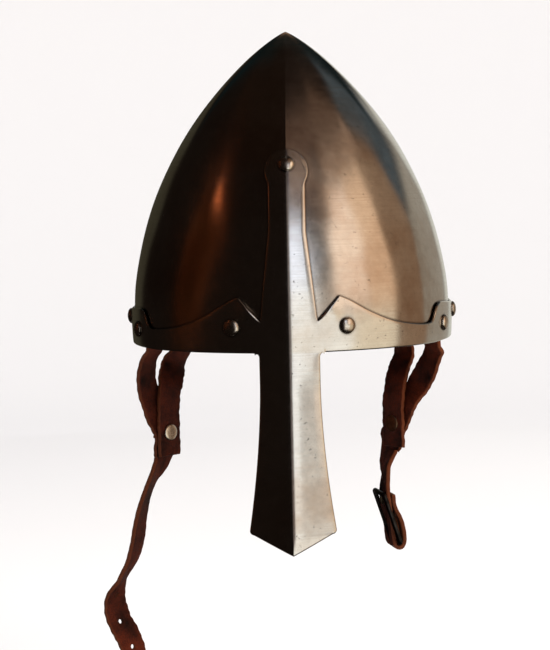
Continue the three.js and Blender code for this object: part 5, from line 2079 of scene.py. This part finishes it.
@dataclass(frozen=True)
class Studio:
    """The camera, the pale floor and the soft light."""

    camera_at: tuple[float, float, float] = (17.392, -1128.3, 91.3)
    yaw: float = -1.434
    pitch: float = 4.217
    roll: float = -1.34
    lens: float = 97.81
    film_height: float = 36.0
    floor_height: float = -310.0
    floor_radius: float = 2100.0
    cove_radius: float = 1500.0
    paper: str = "eeecec"
    world: str = "f2f3f5"
    world_strength: float = 1.0
    room_radius: float = 1950.0
    card_step: float = 4.0

    def build_camera(self) -> None:
        """Makes the camera: turned by yaw, pitched down, then rolled about its own line of sight."""
        yaw, pitch, roll = (math.radians(angle) for angle in (self.yaw, self.pitch, self.roll))
        level = math.cos(pitch)
        ahead = vector(math.sin(yaw) * level, math.cos(yaw) * level, -math.sin(pitch))
        right = vector(math.cos(yaw), -math.sin(yaw), 0.0)
        up = np.cross(right, ahead)
        turned = math.cos(roll) * right + math.sin(roll) * up
        risen = math.cos(roll) * up - math.sin(roll) * right
        camera = bpy.data.cameras.new("camera")
        camera.sensor_fit, camera.lens = "VERTICAL", self.lens
        camera.sensor_height = self.film_height
        stand = put_in_scene("camera", camera)
        axes = Matrix(np.stack([turned, risen, -ahead], axis=1).tolist()).to_4x4()
        stand.matrix_world = Matrix.Translation([c * MM for c in self.camera_at]) @ axes
        bpy.context.scene.camera = stand

    def build_floor(self) -> None:
        """Makes the floor: a flat disc whose edge curves up, as a cove does."""
        turn = np.radians(np.linspace(0.0, 90.0, 24))
        rim = np.column_stack([self.floor_radius + self.cove_radius * np.sin(turn),
                               self.floor_height + self.cove_radius * (1.0 - np.cos(turn))])
        flat = [[0.0, self.floor_height], [self.floor_radius / 2.0, self.floor_height]]
        profile = np.vstack([flat, rim])
        rings = spun(profile, 96)
        quads = faces_of(np.arange(rings[..., 0].size).reshape(rings.shape[:2]), closed=True)
        mesh = mesh_of("floor", rings, quads.tolist())
        mesh.shade_smooth()
        floor = put_in_scene("floor", mesh)
        floor.visible_glossy = False
        # Matt paper: an even pale ground that shows the helmet's soft shadow and nothing else.
        material, tree = fresh_material("white_paper")
        matt = {"Base Color": linear(self.paper), "Roughness": 0.9}
        paper = node(tree, "ShaderNodeBsdfPrincipled", matt)
        node(tree, "ShaderNodeOutputMaterial", links={"Surface": paper})
        mesh.materials.append(material)

    def build_world(self) -> None:
        """Makes the white room round the cove."""
        world = bpy.data.worlds.new("white_room")
        world.use_nodes = True
        tree = world.node_tree
        tree.nodes.clear()
        white = {"Color": linear(self.world), "Strength": self.world_strength}
        glow = node(tree, "ShaderNodeBackground", white)
        node(tree, "ShaderNodeOutputWorld", links={"Surface": glow})
        bpy.context.scene.world = world

    def build(self) -> None:
        """Sets up camera, floor, light and the boards that the steel mirrors."""
        self.build_camera()
        self.build_floor()
        self.build_world()
        for softbox in SOFTBOXES:
            softbox.build()
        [card.build(self.room_radius - step * self.card_step) for step, card in enumerate(ROOM)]
        bpy.context.scene.view_settings.view_transform = "Standard"


SOFTBOXES = (
    Softbox("key", 50.0, 30.0, 1.3, 70.0, "fff6ea"),
    Softbox("fill", -40.0, 55.0, 1.6, 5.0, "eef2ff"),
)

# What the steel mirrors. Each board is a little nearer than the one before it and covers it.
ROOM = (
    Card("dark_room", (-180.0, 180.0), (-89.0, 89.0), "ffd8c0", 0.01, feather=0.01),
    Card("brown_sky", (-180.0, 180.0), (54.0, 89.9), "ffc4a0", 0.014, feather=0.01),
    Card("ridge_fade", (-2.0, 17.0), (-40.0, 58.0), "e8d8d4", 0.3, feather=5.0),
    Card("white_floor_board", (13.0, 50.0), (-35.0, 0.0), "fbfaf4", 1.5),
    Card("white_board", (13.0, 35.5), (-4.0, 16.0), "f9fbfb", 1.6),
    Card("blue_board", (13.0, 33.5), (12.0, 40.0), "e6eeff", 2.0),
    Card("grey_gap", (31.0, 41.0), (-4.0, 20.0), "f5f0e8", 0.6, feather=2.0),
    Card("pale_gap", (29.0, 40.0), (14.0, 46.0), "f0eeee", 0.16, feather=2.0),
    Card("cool_sky", (15.0, 36.0), (37.0, 56.0), "e8ecff", 0.3),
    Card("tan_board", (36.5, 63.0), (0.0, 50.0), "ffe8d4", 1.6, feather=5.0),
    Card("tan_floor_board", (46.0, 81.0), (-35.0, 3.0), "fbecd2", 1.15),
    Card("warm_board", (57.0, 84.0), (-1.0, 51.0), "ffd8b4", 1.15, feather=4.0),
    Card("brown_ceiling", (20.0, 112.0), (54.0, 77.0), "ffc8a4", 0.13, feather=7.0),
    Card("tan_ceiling", (20.0, 106.0), (44.0, 59.0), "ffd6b8", 0.4, feather=4.0),
    Card("brown_board", (79.0, 116.0), (-35.0, 48.0), "ffd2ac", 0.34, feather=4.0),
    Card("brown_gap", (43.0, 53.5), (47.0, 61.0), "f4dcd0", 0.08, feather=2.5),
    Card("low_brown_gap", (34.0, 45.0), (33.0, 50.0), "f4e0d8", 0.12, feather=3.0),
    Card("olive_board", (110.0, 154.0), (-35.0, 24.0), "fff4e2", 0.42, feather=5.0),
    Card("slate_board", (106.0, 160.0), (19.0, 60.0), "d4eeff", 0.13, feather=8.0),
    Card("pale_wall", (150.0, 180.0), (-35.0, 25.0), "fffff4", 0.7, feather=5.0),
    Card("copper_board", (-81.5, -76.5), (4.0, 42.0), "ff8c56", 4.0, 0.25, 1.6),
    Card("copper_shade", (-94.0, -62.0), (-10.0, 42.0), "ff9a60", 0.02, 0.2, 8.0),
    Card("olive_wall", (-180.0, -140.0), (-20.0, 25.0), "fff2c8", 0.05, feather=5.0),
    Card("teal_wall", (-222.0, -138.0), (24.0, 68.0), "a8ecf4", 0.016, feather=8.0),
    Card("back_light", (-194.0, -166.0), (36.0, 48.0), "ffd0ac", 0.7, feather=4.0),
)


def main() -> None:
    """Builds the helmet in the order in which it is put together, then the studio."""
    logging.basicConfig(level=logging.INFO, format="%(name)s: %(message)s")
    finishes = Finishes.make()
    shape = SkullShape()
    band = BrowBand(shape)
    liner = Liner(shape)
    Skull(shape).build(finishes)
    band.build(finishes)
    liner.build(finishes)
    Rivets(shape, band.face, liner.face - liner.thickness).build(finishes)
    straps = ChinStrap.worn_open(shape)
    straps.build(finishes)
    Buckle(straps.buckle).build(finishes)
    Studio().build()


if __name__ == "__main__":
    main()
